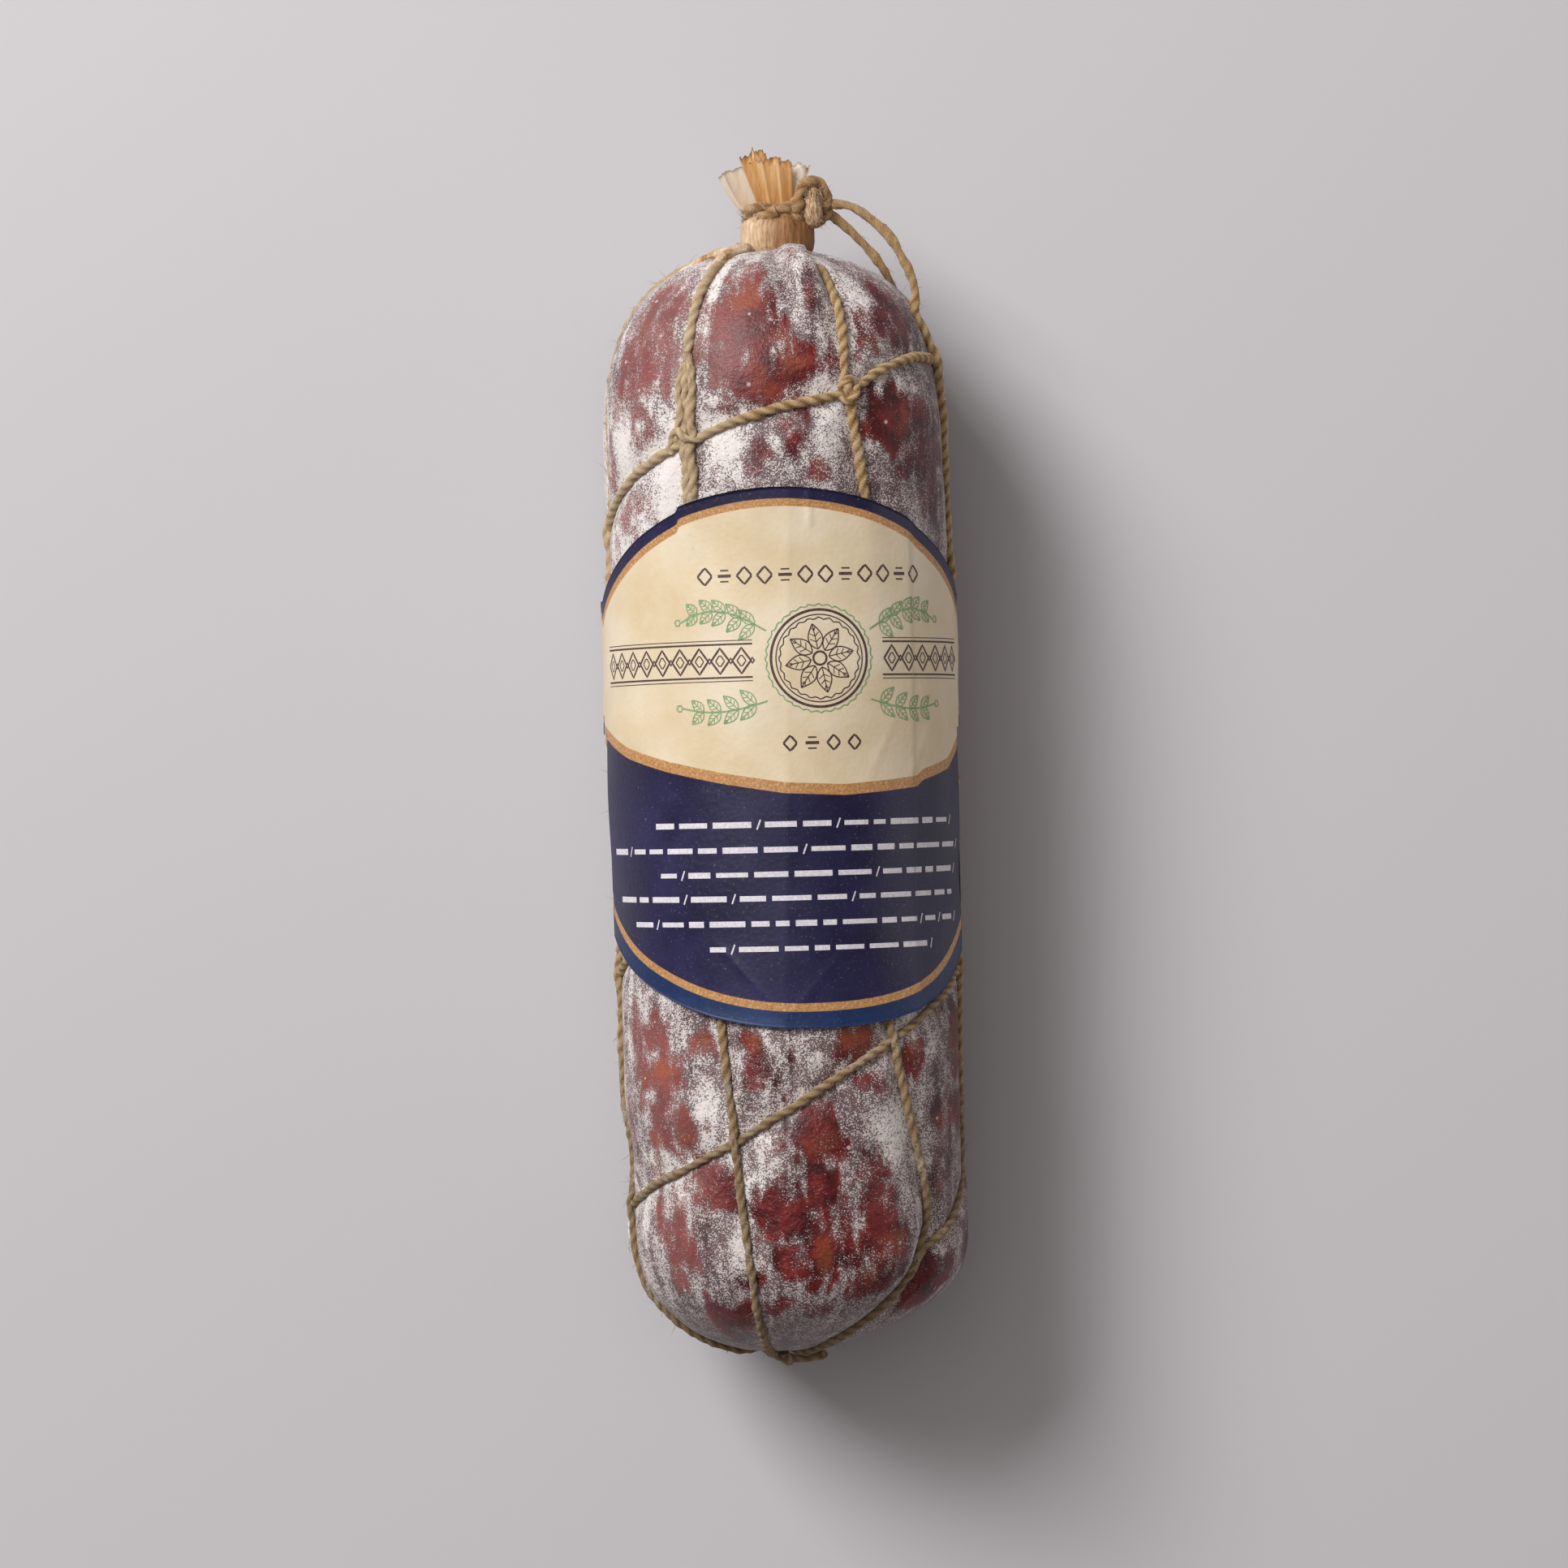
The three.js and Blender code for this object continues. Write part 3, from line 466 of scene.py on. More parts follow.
# Painted shade: patchy darkening, broken up by noise, that grows towards the right side, away from the window light
dark = smooth(0.5 + 0.9 * soft_noise(flat_place * 0.8 + 7, 25)) * smooth(0.4 + (body_arc - 8) / 30)
# Painted light: fairer, pinker meat over the upper left and along the left side, where the window light falls
fair = smooth((body_y - 52) / 18) * smooth((4 - body_arc) / 14)
fair = np.maximum(fair, smooth((-9 - body_arc) / 12)) * smooth((body_arc + 60) / 10)

# Bloomed casing: natural pork casing, air dried, with a white mould bloom grown on it. The eye sees
# dark red meat, orange fat and purple-grey shade through the thin skin, and a matt powder that
# breaks up into grains. The grains are drawn a quarter of a millimetre wide, coarser than real
# ones, so that they show. Widths in mm:
GRAIN_WIDTH = 0.2564
CLUMP_WIDTH = 1.25
BREAK_WIDTH = 3.333
MARBLE_WIDTH = 4.762
LEATHER_WIDTH = 0.8
LONE_GRAIN_SPACING = 3.03

casing = new_material("bloomed_casing")
where = node(casing, "TexCoord", out="Object")
grain = node(casing, "TexVoronoi", Vector=where, Scale=1000 / GRAIN_WIDTH, out="Distance")
grain_turn = node(casing, "SeparateColor", grain.node.outputs["Color"])
clumps = node(casing, "TexNoise", Vector=where, Scale=1000 / CLUMP_WIDTH, Detail=3.0, Roughness=0.7)
breaks = node(casing, "TexNoise", Vector=where, Scale=1000 / BREAK_WIDTH, Detail=4.0, Roughness=0.65)
marble = node(casing, "TexNoise", Vector=where, Scale=1000 / MARBLE_WIDTH, Detail=4.0, Roughness=0.6)
leathery = node(casing, "TexNoise", Vector=where, Scale=1000 / LEATHER_WIDTH, Detail=3.0, Roughness=0.6)
bloom_here, fat_here, painted_shade_here, painted_light_here, window_here = [
    node(casing, "Attribute", attribute_name=name, out="Fac")
    for name in ("bloom", "fat", "dark", "fair", "window")
]

# Meat under the skin: painted light makes it fairer and pinker on the lit upper left, it is grey away from the windows,
# and painted shade darkens it in patches on the right, away from the light
red = [(0.30, "#2c060b"), (0.45, "#500d12"), (0.57, "#6e1c1c"), (0.75, "#8a3730")]
meat = node(casing, "ValToRGB", marble, stops=red)
# Painted light: the meat is mixed towards a pale pink where the window light falls
share = node(casing, "Math", painted_light_here, 0.45, operation="MULTIPLY")
meat = node(casing, "Mix", share, i6=meat, i7=linear("#a76a65"), **COLOURS)
shade = node(casing, "ValToRGB", marble, stops=[(0.30, "#351e22"), (0.50, "#502f33"), (0.70, "#684446")])
share = node(casing, "MapRange", window_here, 0.05, 0.45, **SMOOTHLY)
meat = node(casing, "Mix", share, i6=shade, i7=meat, **COLOURS)
# Purple-grey painted shade on the right side, then the orange of real fat
for place, strength, code in ((painted_shade_here, 0.4, "#3d2930"), (fat_here, 0.38, "#ab5a30")):
    share = node(casing, "Math", place, strength, operation="MULTIPLY")
    meat = node(casing, "Mix", share, i6=meat, i7=linear(code), **COLOURS)

# Powder: the bloom of a place, made uneven by grains, clumps and breaks, with a thin haze, single
# bright grains where it is thick and a few larger lone ones anywhere
amount = node(casing, "Math", bloom_here, 0.86, -0.47, operation="MULTIPLY_ADD")
for pattern, strength in ((grain, -1.45), (grain_turn, 0.56), (clumps, 0.9), (breaks, 0.9)):
    amount = node(casing, "Math", pattern, strength, amount, operation="MULTIPLY_ADD")
cover = node(casing, "MapRange", amount, 0.38, 0.72, 0.0, 0.94, **SMOOTHLY)
haze = node(casing, "Math", bloom_here, 0.26, -0.03, operation="MULTIPLY_ADD")
cover = node(casing, "Math", cover, haze, operation="MAXIMUM")
bright_limit = node(casing, "Math", bloom_here, -0.36, 0.99, operation="MULTIPLY_ADD")
bright = node(casing, "Math", grain_turn, bright_limit, operation="GREATER_THAN")
bright_core = node(casing, "Math", grain, 0.45, operation="LESS_THAN")
lone_grain = node(casing, "TexVoronoi", Vector=where, Scale=1000 / LONE_GRAIN_SPACING, out="Distance")
lone_turn = node(casing, "SeparateColor", lone_grain.node.outputs["Color"])
lone = node(casing, "Math", lone_turn, 0.62, operation="GREATER_THAN")
lone_core = node(casing, "Math", lone_grain, 0.11, operation="LESS_THAN")
for chosen, core, strength in ((bright, bright_core, 0.7), (lone, lone_core, 0.85)):
    speck = node(casing, "Math", chosen, core, operation="MULTIPLY")
    speck = node(casing, "Math", speck, strength, operation="MULTIPLY")
    cover = node(casing, "Math", cover, speck, operation="MAXIMUM")
powder = node(casing, "ValToRGB", bloom_here, stops=[(0.2, "#c6b6b4"), (0.75, "#dcd0cd"), (1.0, "#ede5e1")])
skin = node(casing, "Mix", cover, i6=meat, i7=powder, **COLOURS)
powder_height = node(casing, "Math", cover, 0.8, operation="MULTIPLY")
height = node(casing, "Math", leathery, 1.2, powder_height, operation="MULTIPLY_ADD")
bloomed = node(
    casing, "BsdfPrincipled", Base_Color=skin, IOR=1.42,
    Roughness=node(casing, "MapRange", cover, 0.0, 1.0, 0.43, 0.95, **SMOOTHLY),
    Normal=node(casing, "Bump", Height=height, Distance=0.00026, Strength=0.85),
    Subsurface_Weight=0.12, Subsurface_Scale=0.0015, Subsurface_Radius=(1.0, 0.25, 0.15),
)
node(casing, "OutputMaterial", Surface=bloomed)

all_points = np.concatenate([body_points.reshape(-1, 3), [neck_middle, heel_middle]])
body = make_piece(
    "salami_in_casing", all_points, [body_faces, body_caps], casing, ["salami_body"], "casing_bloom")
looks = {"bloom": bloom, "fat": fat, "dark": dark, "fair": fair, "window": windows}
for name, values in looks.items():
    set_values(body, name, np.concatenate([values.ravel(), [values[0].mean(), values[-1].mean()]]))


# The twine net: pale brown hemp twine, about 1.5 mm thick and laid up from two loose plies, in six
# lengthwise strings and four slanting hoops hitched to them. It presses into the casing, and the
# strings end under the tie at the neck and in the small knot at the heel.
TWINE_RADIUS = 0.76
TWINE_LIFT = 0.45
PLY_PITCH = 4.7
PLY_DEPTH = 0.23
PLIES = 2
FIBRE_TURN = 2.6
FIBRE_STRETCH = 0.22
TWINE_SIDES = 15
TWINE_STEP = 0.42
TUCK_DEPTH = 1.5
HOOP_SIZES = (0.95, 0.9, 0.88, 0.82)


def evened(route, step_length=TWINE_STEP):
    """Points at equal steps along a route."""
    distance = np.concatenate([[0], np.cumsum(np.linalg.norm(np.diff(route, axis=0), axis=1))])
    stops = np.linspace(0, distance[-1], max(int(distance[-1] / step_length) + 1, 4))
    return np.stack([np.interp(stops, distance, route[:, i]) for i in range(3)], axis=-1)


def rounded(route, step_length=TWINE_STEP):
    """A smooth curve through the points of a route."""
    route = np.asarray(route, float)
    ends = np.concatenate([[2 * route[0] - route[1]], route, [2 * route[-1] - route[-2]]])
    share = np.linspace(0, 1, 12, endpoint=False)[:, None]
    pieces = []
    for before, start, end, beyond in zip(ends, ends[1:], ends[2:], ends[3:]):
        linear_part = (end - before) * share
        square_part = (2 * before - 5 * start + 4 * end - beyond) * share ** 2
        cube_part = (3 * start - before - 3 * end + beyond) * share ** 3
        pieces.append(0.5 * (2 * start + linear_part + square_part + cube_part))
    return evened(np.concatenate([*pieces, route[-1:]]), step_length)


def tube(path, radius, sides=TWINE_SIDES, depth=PLY_DEPTH, pitch=PLY_PITCH, lobes=PLIES, rough=0.13, seed=1):
    """A twisted tube along a path: its points, faces and for each point how high on its ply it
    is and where along its fibres."""
    tangent = np.gradient(path, axis=0)
    tangent /= np.linalg.norm(tangent, axis=1, keepdims=True)
    side = np.cross(tangent[0], (0.31, 0.17, 1.0))
    frames = []
    for direction in tangent:
        side = side - direction * side.dot(direction)
        side = side / np.linalg.norm(side)
        frames.append(side)
    side = np.array(frames)
    other = np.cross(tangent, side)
    along = np.concatenate([[0], np.cumsum(np.linalg.norm(np.diff(path, axis=0), axis=1))])[:, None]
    around = np.linspace(0, 2 * math.pi, sides, endpoint=False)[None, :]
    slack = 0.9 * soft_noise(np.stack([along / 6, 0 * along + 3, 0 * along], axis=-1), 42 + seed)
    turn = around - 2 * math.pi * along / pitch + seed + slack
    crest = np.abs(np.cos(lobes / 2 * turn)) ** 0.8
    fibre = np.stack(
        [along * FIBRE_STRETCH + 0 * turn, FIBRE_TURN * np.cos(turn), FIBRE_TURN * np.sin(turn)], axis=-1)
    depth = np.broadcast_to(depth, len(path))[:, None]
    size = np.broadcast_to(radius, len(path))[:, None] * (1 - depth + 1.6 * depth * crest)
    crest = 0.6 + (crest - 0.6) * depth / PLY_DEPTH
    size = size * (1 + rough * soft_noise(fibre * (3, 0.8, 0.8), 40 + seed))
    knobbly = np.stack([along / 2.4, 0 * along, 0 * along], axis=-1)
    size = size * (1 + 1.3 * rough * soft_noise(knobbly, 41 + seed))
    points = path[:, None, :] + side[:, None, :] * (size * np.cos(around))[..., None]
    points = points + other[:, None, :] * (size * np.sin(around))[..., None]
    faces = grid_faces(len(path), sides, True)
    ends = np.arange(sides)
    total = len(path) * sides
    next_ends = (ends + 1) % sides
    first = np.stack([np.full(sides, total), ends, next_ends], axis=-1)
    last = np.stack([np.full(sides, total + 1), total - sides + next_ends, total - sides + ends], axis=-1)
    points = np.concatenate([points.reshape(-1, 3), path[:1], path[-1:]])
    crest = np.concatenate([crest.ravel(), [0.4, 0.4]])
    fibre = np.concatenate([fibre.reshape(-1, 3), fibre[:1, 0], fibre[-1:, 0]])
    return points, [faces[:, ::-1], np.concatenate([first, last])], crest, fibre


def hairs(paths, amount, radius, seed, length=(0.8, 2.6), width=0.045):
    """Stray fibres that stand off the paths, as thin three-sided bent threads."""
    random = np.random.default_rng(seed)
    steps = np.linspace(0, 1, 5)
    made = []
    for _ in range(amount):
        path = paths[random.integers(len(paths))]
        at = random.integers(1, len(path) - 2)
        forward = path[at + 1] - path[at - 1]
        forward /= np.linalg.norm(forward)
        out = np.cross(forward, random.normal(size=3))
        out /= np.linalg.norm(out)
        reach = random.uniform(*length)
        lean = forward * random.uniform(-1.0, 1.0) + out * random.uniform(0.35, 0.9)
        bend = random.normal(size=3) * 0.3
        base = path[at] + out * radius * 0.8
        route = base + np.outer(steps, lean * reach) + np.outer(steps ** 2, bend * reach)
        route[:, 2] = np.maximum(route[:, 2], 0.1)
        made.append(tube(route, width * (1.1 - steps), 3, 0, 9, 3, 0, 1))
    return made


def joined(parts):
    """One set of points, faces and values from several tubes."""
    points, quads, triangles, crests, fibres = [], [], [], [], []
    start = 0
    for part_points, (part_quads, part_triangles), crest, fibre in parts:
        points.append(part_points)
        quads.append(part_quads + start)
        triangles.append(part_triangles + start)
        crests.append(crest)
        fibres.append(fibre)
        start += len(part_points)
    return tuple(np.concatenate(group) for group in (points, quads, triangles, crests, fibres))


def make_twine(name, parts, material, node_names=(), slot=None):
    points, quads, triangles, crest, fibre = joined(parts)
    piece = make_piece(name, points, [quads, triangles], material, node_names, slot)
    set_values(piece, "crest", crest)
    set_values(piece, "fibre", fibre)
    return piece


def surface_path(angle, y, lift):
    """A path on the casing, lifted off it."""
    return meat_surface(angle, y) + meat_normal(angle, y) * np.broadcast_to(lift, y.shape)[:, None]


def string_levels(top, bottom):
    start, end = np.interp([-top, -bottom], -fine_y, travelled)
    return np.interp(np.arange(start, end, TWINE_STEP), travelled, fine_y)


def wander(y, seed, size):
    """A small sideways drift along a string."""
    zero = 0 * y
    kinks = soft_noise(np.stack([y / 3, zero + 4, zero], axis=-1), seed)
    return size * (soft_noise(np.stack([y / 9, zero, zero], axis=-1), seed) + 0.45 * kinks)


def string_path(name, top, bottom, aside=0.0):
    """A lengthwise string, lifted over each hoop that it crosses."""
    y = string_levels(top, bottom)
    index = list(STRINGS).index(name)
    crossings = [crossing[index] for crossing, _ in HOOPS]
    rise = sum(0.55 * np.exp(-(((y - at) / 2.3) ** 2)) for at in crossings)
    radius = np.maximum(sausage_radius(y), 3)
    angle = string_angle(name, y) + np.degrees((aside + wander(y, 50 + index, 0.22)) / radius)
    tucked = TUCK_DEPTH * smooth((y - top + 3) / 3) if name.endswith("front") else 0
    sunk = 0.6 * smooth((y - 42) / 4) if name == "left_edge" else 0
    return surface_path(angle, y, TWINE_LIFT + rise - tucked - sunk)


def beside_string(name, places):
    """A short route by a string, from sideways place in mm, Y and height over the casing."""
    aside, y, lift = np.array(places).T
    angle = string_angle(name, y) + np.degrees(aside / np.maximum(sausage_radius(y), 3))
    return rounded(surface_path(angle, y, lift))


# Free ends of two strings between the knot and the shoulder, as X, Y and height in mm
FREE_STRANDS = {
    "right_edge": [(8.8, 97.9, 30.2), (10.4, 97.6, 30.2), (14.1, 96.7, 31.2), (18.6, 93.1, 32.2),
                   (20.6, 90.5, 32.8), (22.0, 87.8, 33.3), (23.3, 84.9, 33.8), (24.0, 82.0, 34.3)],
    "back_right": [(8.6, 96.2, 29.2), (10.2, 95.9, 28.9), (13.2, 93.4, 28.6), (16.5, 90.0, 27.8),
                   (19.4, 86.0, 26.5)],
}
FREE_STRAND_LANDING = {"right_edge": 78.0, "back_right": 80.5}
# Y where a string starts on the shoulder. The two at the left edge and on the left of the back stop
# a few millimetres short of the collar, with cut ends.
STRING_TOPS = {"left_front": 88.2, "right_front": 87.0, "left_edge": 89.3, "back_left": 89.3}
STRING_BOTTOMS = {"right_edge": -80.8}
STRING_BOTTOM = -95.6

string_paths = []
for name in STRINGS:
    low_end = STRING_BOTTOMS.get(name, STRING_BOTTOM)
    if name in FREE_STRANDS:
        held = string_path(name, FREE_STRAND_LANDING[name], low_end)
        free = rounded([*FREE_STRANDS[name], held[0]])
        string_paths.append(evened(np.concatenate([free[:-1], held])))
    else:
        string_paths.append(string_path(name, STRING_TOPS[name], low_end))

levels = string_levels(70.8, 26)
second_aside = 1.5 * smooth((71 - levels) / 3.5) + 0.2 * np.sin(levels * 0.9)
second_angle = string_angle("left_front", levels) + np.degrees(second_aside / BODY_RADIUS)
second_rise = 0.5 * np.exp(-(((levels - 56.6) / 3) ** 2))
second_strand = surface_path(second_angle, levels, TWINE_LIFT + 0.1 + second_rise)

hoop_paths = []
for index in range(len(HOOPS)):
    turned = np.linspace(-180, 180, 900)
    heights = hoop_height(index, turned) + wander(turned / 2, 60 + index, 0.3)
    hoop_paths.append(evened(surface_path(turned, heights, TWINE_LIFT - 0.05)))

hitches = [
    beside_string("right_front", [(-1.9, 63.2, 0.3), (-1.0, 62.0, 1.1), (0.5, 62.6, 1.75), (1.5, 64.4, 1.1),
                                  (2.2, 65.0, 0.3)]),
    beside_string("right_front", [(-1.4, 64.2, 0.4), (0.2, 65.6, 1.6), (1.6, 64.6, 0.9), (2.6, 65.2, 0.3)]),
    beside_string("left_front", [(-2.8, 54.6, 0.4), (-2.0, 57.4, 0.8), (-1.1, 58.0, 1.4), (1.0, 56.9, 2.0),
                                 (2.6, 56.2, 1.0), (3.4, 56.7, 0.3)]),
    beside_string("left_front", [(0.1, 69.6, 0.4), (-0.9, 67.4, 0.8), (-1.2, 64, 0.8), (-0.4, 61, 1.3),
                                 (-1.2, 58.4, 0.9), (-1.3, 55.5, 0.6)]),
]
HITCH_RADIUS = 0.55
NET_HAIRS = 2800
heel_knot = [
    rounded([(-6.2, -94.2, 33.0), (-3.6, -95.9, 31.7), (0, -96.8, 30.8), (3.4, -96.5, 30.6),
             (4.6, -95.9, 30.9)]),
    rounded([(-5.0, -95.6, 29.4), (-1.8, -96.8, 29.4), (1.4, -96.8, 29.6), (3.4, -95.9, 31.4)]),
    rounded([(-2.2, -95.4, 32.6), (-1.6, -97.0, 31.4), (-2.0, -97.1, 29.0), (-3.2, -95.8, 28.0)]),
]

# Hemp twine: retted bast fibre, spun and laid up undyed, then hung in the curing room. The eye sees
# dull gold-brown fibres with bloom caught in them; painted shade darkens them between the plies and
# painted light makes them pale on the crests. The fibres are drawn twice as wide as real ones, so that they show.
# Widths in mm:
FIBRE_WIDTH = 0.0696
DUST_PATCH_WIDTH = 6.25
DUST_GRAIN_WIDTH = 0.4348

hemp = new_material("hemp_twine")
crest_here = node(hemp, "Attribute", attribute_name="crest", out="Fac")
fibre_place = node(hemp, "Attribute", attribute_name="fibre", out="Vector")
fibres = node(hemp, "TexNoise", Vector=fibre_place, Scale=TWINE_RADIUS / (FIBRE_TURN * FIBRE_WIDTH),
              Detail=4.0, Roughness=0.75)
lie = node(hemp, "Math", fibres, 2.2, -0.87, operation="MULTIPLY_ADD")
# Painted shade and light: darker in the grooves between the plies, paler on their crests
tone = node(hemp, "Math", crest_here, 0.55, lie, operation="MULTIPLY_ADD")
hemp_colour = node(hemp, "ValToRGB", tone,
                   stops=[(0.08, "#3d2411"), (0.34, "#865f37"), (0.58, "#c0945c"), (0.88, "#f0d5a4")])

# Greyer towards the heel, and painted light: fairer on the lit left side of the upper half
hemp_place = node(hemp, "TexCoord", out="Object")
hemp_x = node(hemp, "SeparateXYZ", hemp_place, out=0)
hemp_y = node(hemp, "SeparateXYZ", hemp_place, out=1)
near_heel = node(hemp, "MapRange", hemp_y, 0.0, -0.07, **SMOOTHLY)
share = node(hemp, "Math", near_heel, 0.5, operation="MULTIPLY")
hemp_colour = node(hemp, "Mix", share, i6=hemp_colour, i7=linear("#6a563f"), **COLOURS)
# Painted light on the left of the upper half, where the window light falls
lit_left = node(hemp, "MapRange", hemp_x, -0.002, -0.012, **SMOOTHLY)
lit_upper = node(hemp, "MapRange", hemp_y, 0.0, 0.05, 0.0, 0.36, **SMOOTHLY)
share = node(hemp, "Math", lit_left, lit_upper, operation="MULTIPLY")
hemp_colour = node(hemp, "Mix", share, i6=hemp_colour, i7=linear("#f6e2c0"), **COLOURS)

# Bloom caught in the twine
dust = node(hemp, "TexNoise", Vector=hemp_place, Scale=1000 / DUST_PATCH_WIDTH, Detail=3.0, Roughness=0.7)
dust_grains = node(hemp, "TexNoise", Vector=hemp_place, Scale=1000 / DUST_GRAIN_WIDTH, Detail=2.0,
                   Roughness=0.6)
dust = node(hemp, "Math", near_heel, 0.05, dust, operation="MULTIPLY_ADD")
dust = node(hemp, "Math", dust_grains, 0.7, dust, operation="MULTIPLY_ADD")
share = node(hemp, "MapRange", dust, 0.95, 1.11, 0.0, 0.6, **SMOOTHLY)
hemp_colour = node(hemp, "Mix", share, i6=hemp_colour, i7=linear("#cdc1b2"), **COLOURS)
hemp_height = node(hemp, "Math", crest_here, 0.3, fibres, operation="MULTIPLY_ADD")
hemp_shader = node(hemp, "BsdfPrincipled", Base_Color=hemp_colour, Roughness=0.86, IOR=1.45,
                   Normal=node(hemp, "Bump", Height=hemp_height, Distance=0.0003, Strength=0.9),
                   Sheen_Weight=0.15)
node(hemp, "OutputMaterial", Surface=hemp_shader)

net_parts = []
for i, path in enumerate(string_paths):
    worn = TWINE_RADIUS * np.interp(path[:, 1], (-90, -45, 40), (0.78, 0.86, 1.0))
    slack_lay = np.interp(path[:, 1], (79, 84), (PLY_DEPTH, 0.06))
    net_parts.append(tube(path, worn, depth=slack_lay, rough=0.15, seed=i))
for i, (path, size) in enumerate(zip(hoop_paths, HOOP_SIZES)):
    net_parts.append(tube(path, size * TWINE_RADIUS, seed=10 + i))
net_parts += [tube(second_strand, TWINE_RADIUS, seed=20)]
net_parts += [tube(path, HITCH_RADIUS, seed=21 + i) for i, path in enumerate(hitches)]
net_parts += [tube(path, TWINE_RADIUS * 0.9, seed=30 + i) for i, path in enumerate(heel_knot)]
make_twine("twine_net_strands", net_parts, hemp, ["twine_net"], "twine")
haired_paths = [*string_paths, *hoop_paths, second_strand, second_strand]
net_hairs = hairs(haired_paths, NET_HAIRS, TWINE_RADIUS, 71, (0.5, 2.0))
make_twine("twine_net_fuzz", net_hairs, hemp, (), "twine")


# The dry end of the casing: above the neck it is drawn into a fibrous collar, tied round, and
# left as a tuft of thin amber skin with a pale leaf on each side and small dark specks.
NECK_X = 1.0
NECK_HEIGHT = 29.0


def thin_sheet(points, thickness, closed=False):
    """A thin solid from a grid of points in mm: its points and faces."""
    rows, columns = points.shape[:2]
    along = np.gradient(points, axis=0)
    if closed:
        around = np.roll(points, -1, axis=1) - np.roll(points, 1, axis=1)
    else:
        around = np.gradient(points, axis=1)
    out = np.cross(along, around)
    out /= np.maximum(np.linalg.norm(out, axis=-1, keepdims=True), 1e-9)
    outer = (points + out * thickness / 2).reshape(-1, 3)
    inner = (points - out * thickness / 2).reshape(-1, 3)
    total = rows * columns
    faces = grid_faces(rows, columns, closed)
    index = np.arange(total).reshape(rows, columns)
    edges = [index[0, ::-1], index[-1]]
    if not closed:
        edges = [np.concatenate([index[0, ::-1], index[1:, 0], index[-1, 1:], index[-2::-1, -1]])]
    rims = []
    for edge in edges:
        if closed:
            edge = np.append(edge, edge[0])
        rims.append(np.stack([edge[:-1], edge[1:], edge[1:] + total, edge[:-1] + total], axis=-1))
    return np.concatenate([outer, inner]), np.concatenate([faces, faces[:, ::-1] + total, *rims])


# Collar: Y, sideways shift, half width, half height and depth of its fine folds
COLLAR_RINGS = np.array([
    (88.4, 0.15, 4.6, 4.4, 0.10), (89.4, 0.15, 5.4, 5.2, 0.10), (90.3, 0.15, 5.8, 5.6, 0.10),
    (91.4, 0.15, 6.0, 5.8, 0.09), (92.6, 0.15, 6.0, 5.8, 0.09), (93.6, 0.15, 5.95, 5.7, 0.09),
    (94.4, 0.15, 5.7, 5.4, 0.10), (95.2, 0.1, 5.2, 4.9, 0.13), (96.2, 0.0, 4.4, 4.2, 0.2), (97.2, -0.1, 4.2, 3.8, 0.25),
])
COLLAR_GROOVE = 0.2
collar_y = np.linspace(COLLAR_RINGS[0, 0], COLLAR_RINGS[-1, 0], 50)
collar_theta, collar_level = np.meshgrid(np.linspace(0, 2 * math.pi, 300, endpoint=False), collar_y)
read = lambda column: np.interp(collar_level, COLLAR_RINGS[:, 0], COLLAR_RINGS[:, column])
folds = np.stack([np.cos(collar_theta) * 9, np.sin(collar_theta) * 9, collar_level / 8], axis=-1)
fine_folds = read(4) * (soft_noise(folds, 81) + 0.6 * soft_noise(folds * 2.3, 82))
deep = -COLLAR_GROOVE * np.exp(-(turn_between(np.degrees(collar_theta), 2) / 5) ** 2)
deep -= COLLAR_GROOVE * np.exp(-(turn_between(np.degrees(collar_theta), 33) / 4) ** 2)
collar_points = np.stack([
    NECK_X + read(1) + (read(2) + fine_folds + deep) * np.sin(collar_theta), collar_level,
    NECK_HEIGHT + (read(3) + fine_folds + deep) * np.cos(collar_theta),
], axis=-1)

# Dried casing: bare gut dried stiff in the air, where it is gathered and pulled. The eye sees
# gold-beige skin with fine drawn fibres, and painted shade makes it browner on the right, away from the light. Widths
# in mm:
SKIN_FIBRE_WIDTH = 0.3846
SKIN_PATCH_WIDTH = 2.381
SKIN_STRETCH = 0.12

dry_skin = new_material("dried_casing")
skin_place = node(dry_skin, "TexCoord", out="Object")
drawn = node(dry_skin, "Mapping", Vector=skin_place, Scale=(1.0, SKIN_STRETCH, 1.0))
skin_fibres = node(dry_skin, "TexNoise", Vector=drawn, Scale=1000 / SKIN_FIBRE_WIDTH, Detail=3.0,
                   Roughness=0.65)
skin_patches = node(dry_skin, "TexNoise", Vector=drawn, Scale=1000 / SKIN_PATCH_WIDTH, Detail=2.0,
                    Roughness=0.5)
skin_tone = node(dry_skin, "Math", skin_patches, 0.4, operation="MULTIPLY")
skin_tone = node(dry_skin, "Math", skin_fibres, 0.6, skin_tone, operation="MULTIPLY_ADD")
dry_colour = node(dry_skin, "ValToRGB", skin_tone,
                  stops=[(0.30, "#8d5f36"), (0.43, "#bc9369"), (0.56, "#dabf9e"), (0.72, "#eddfce")])
skin_x = node(dry_skin, "SeparateXYZ", skin_place)
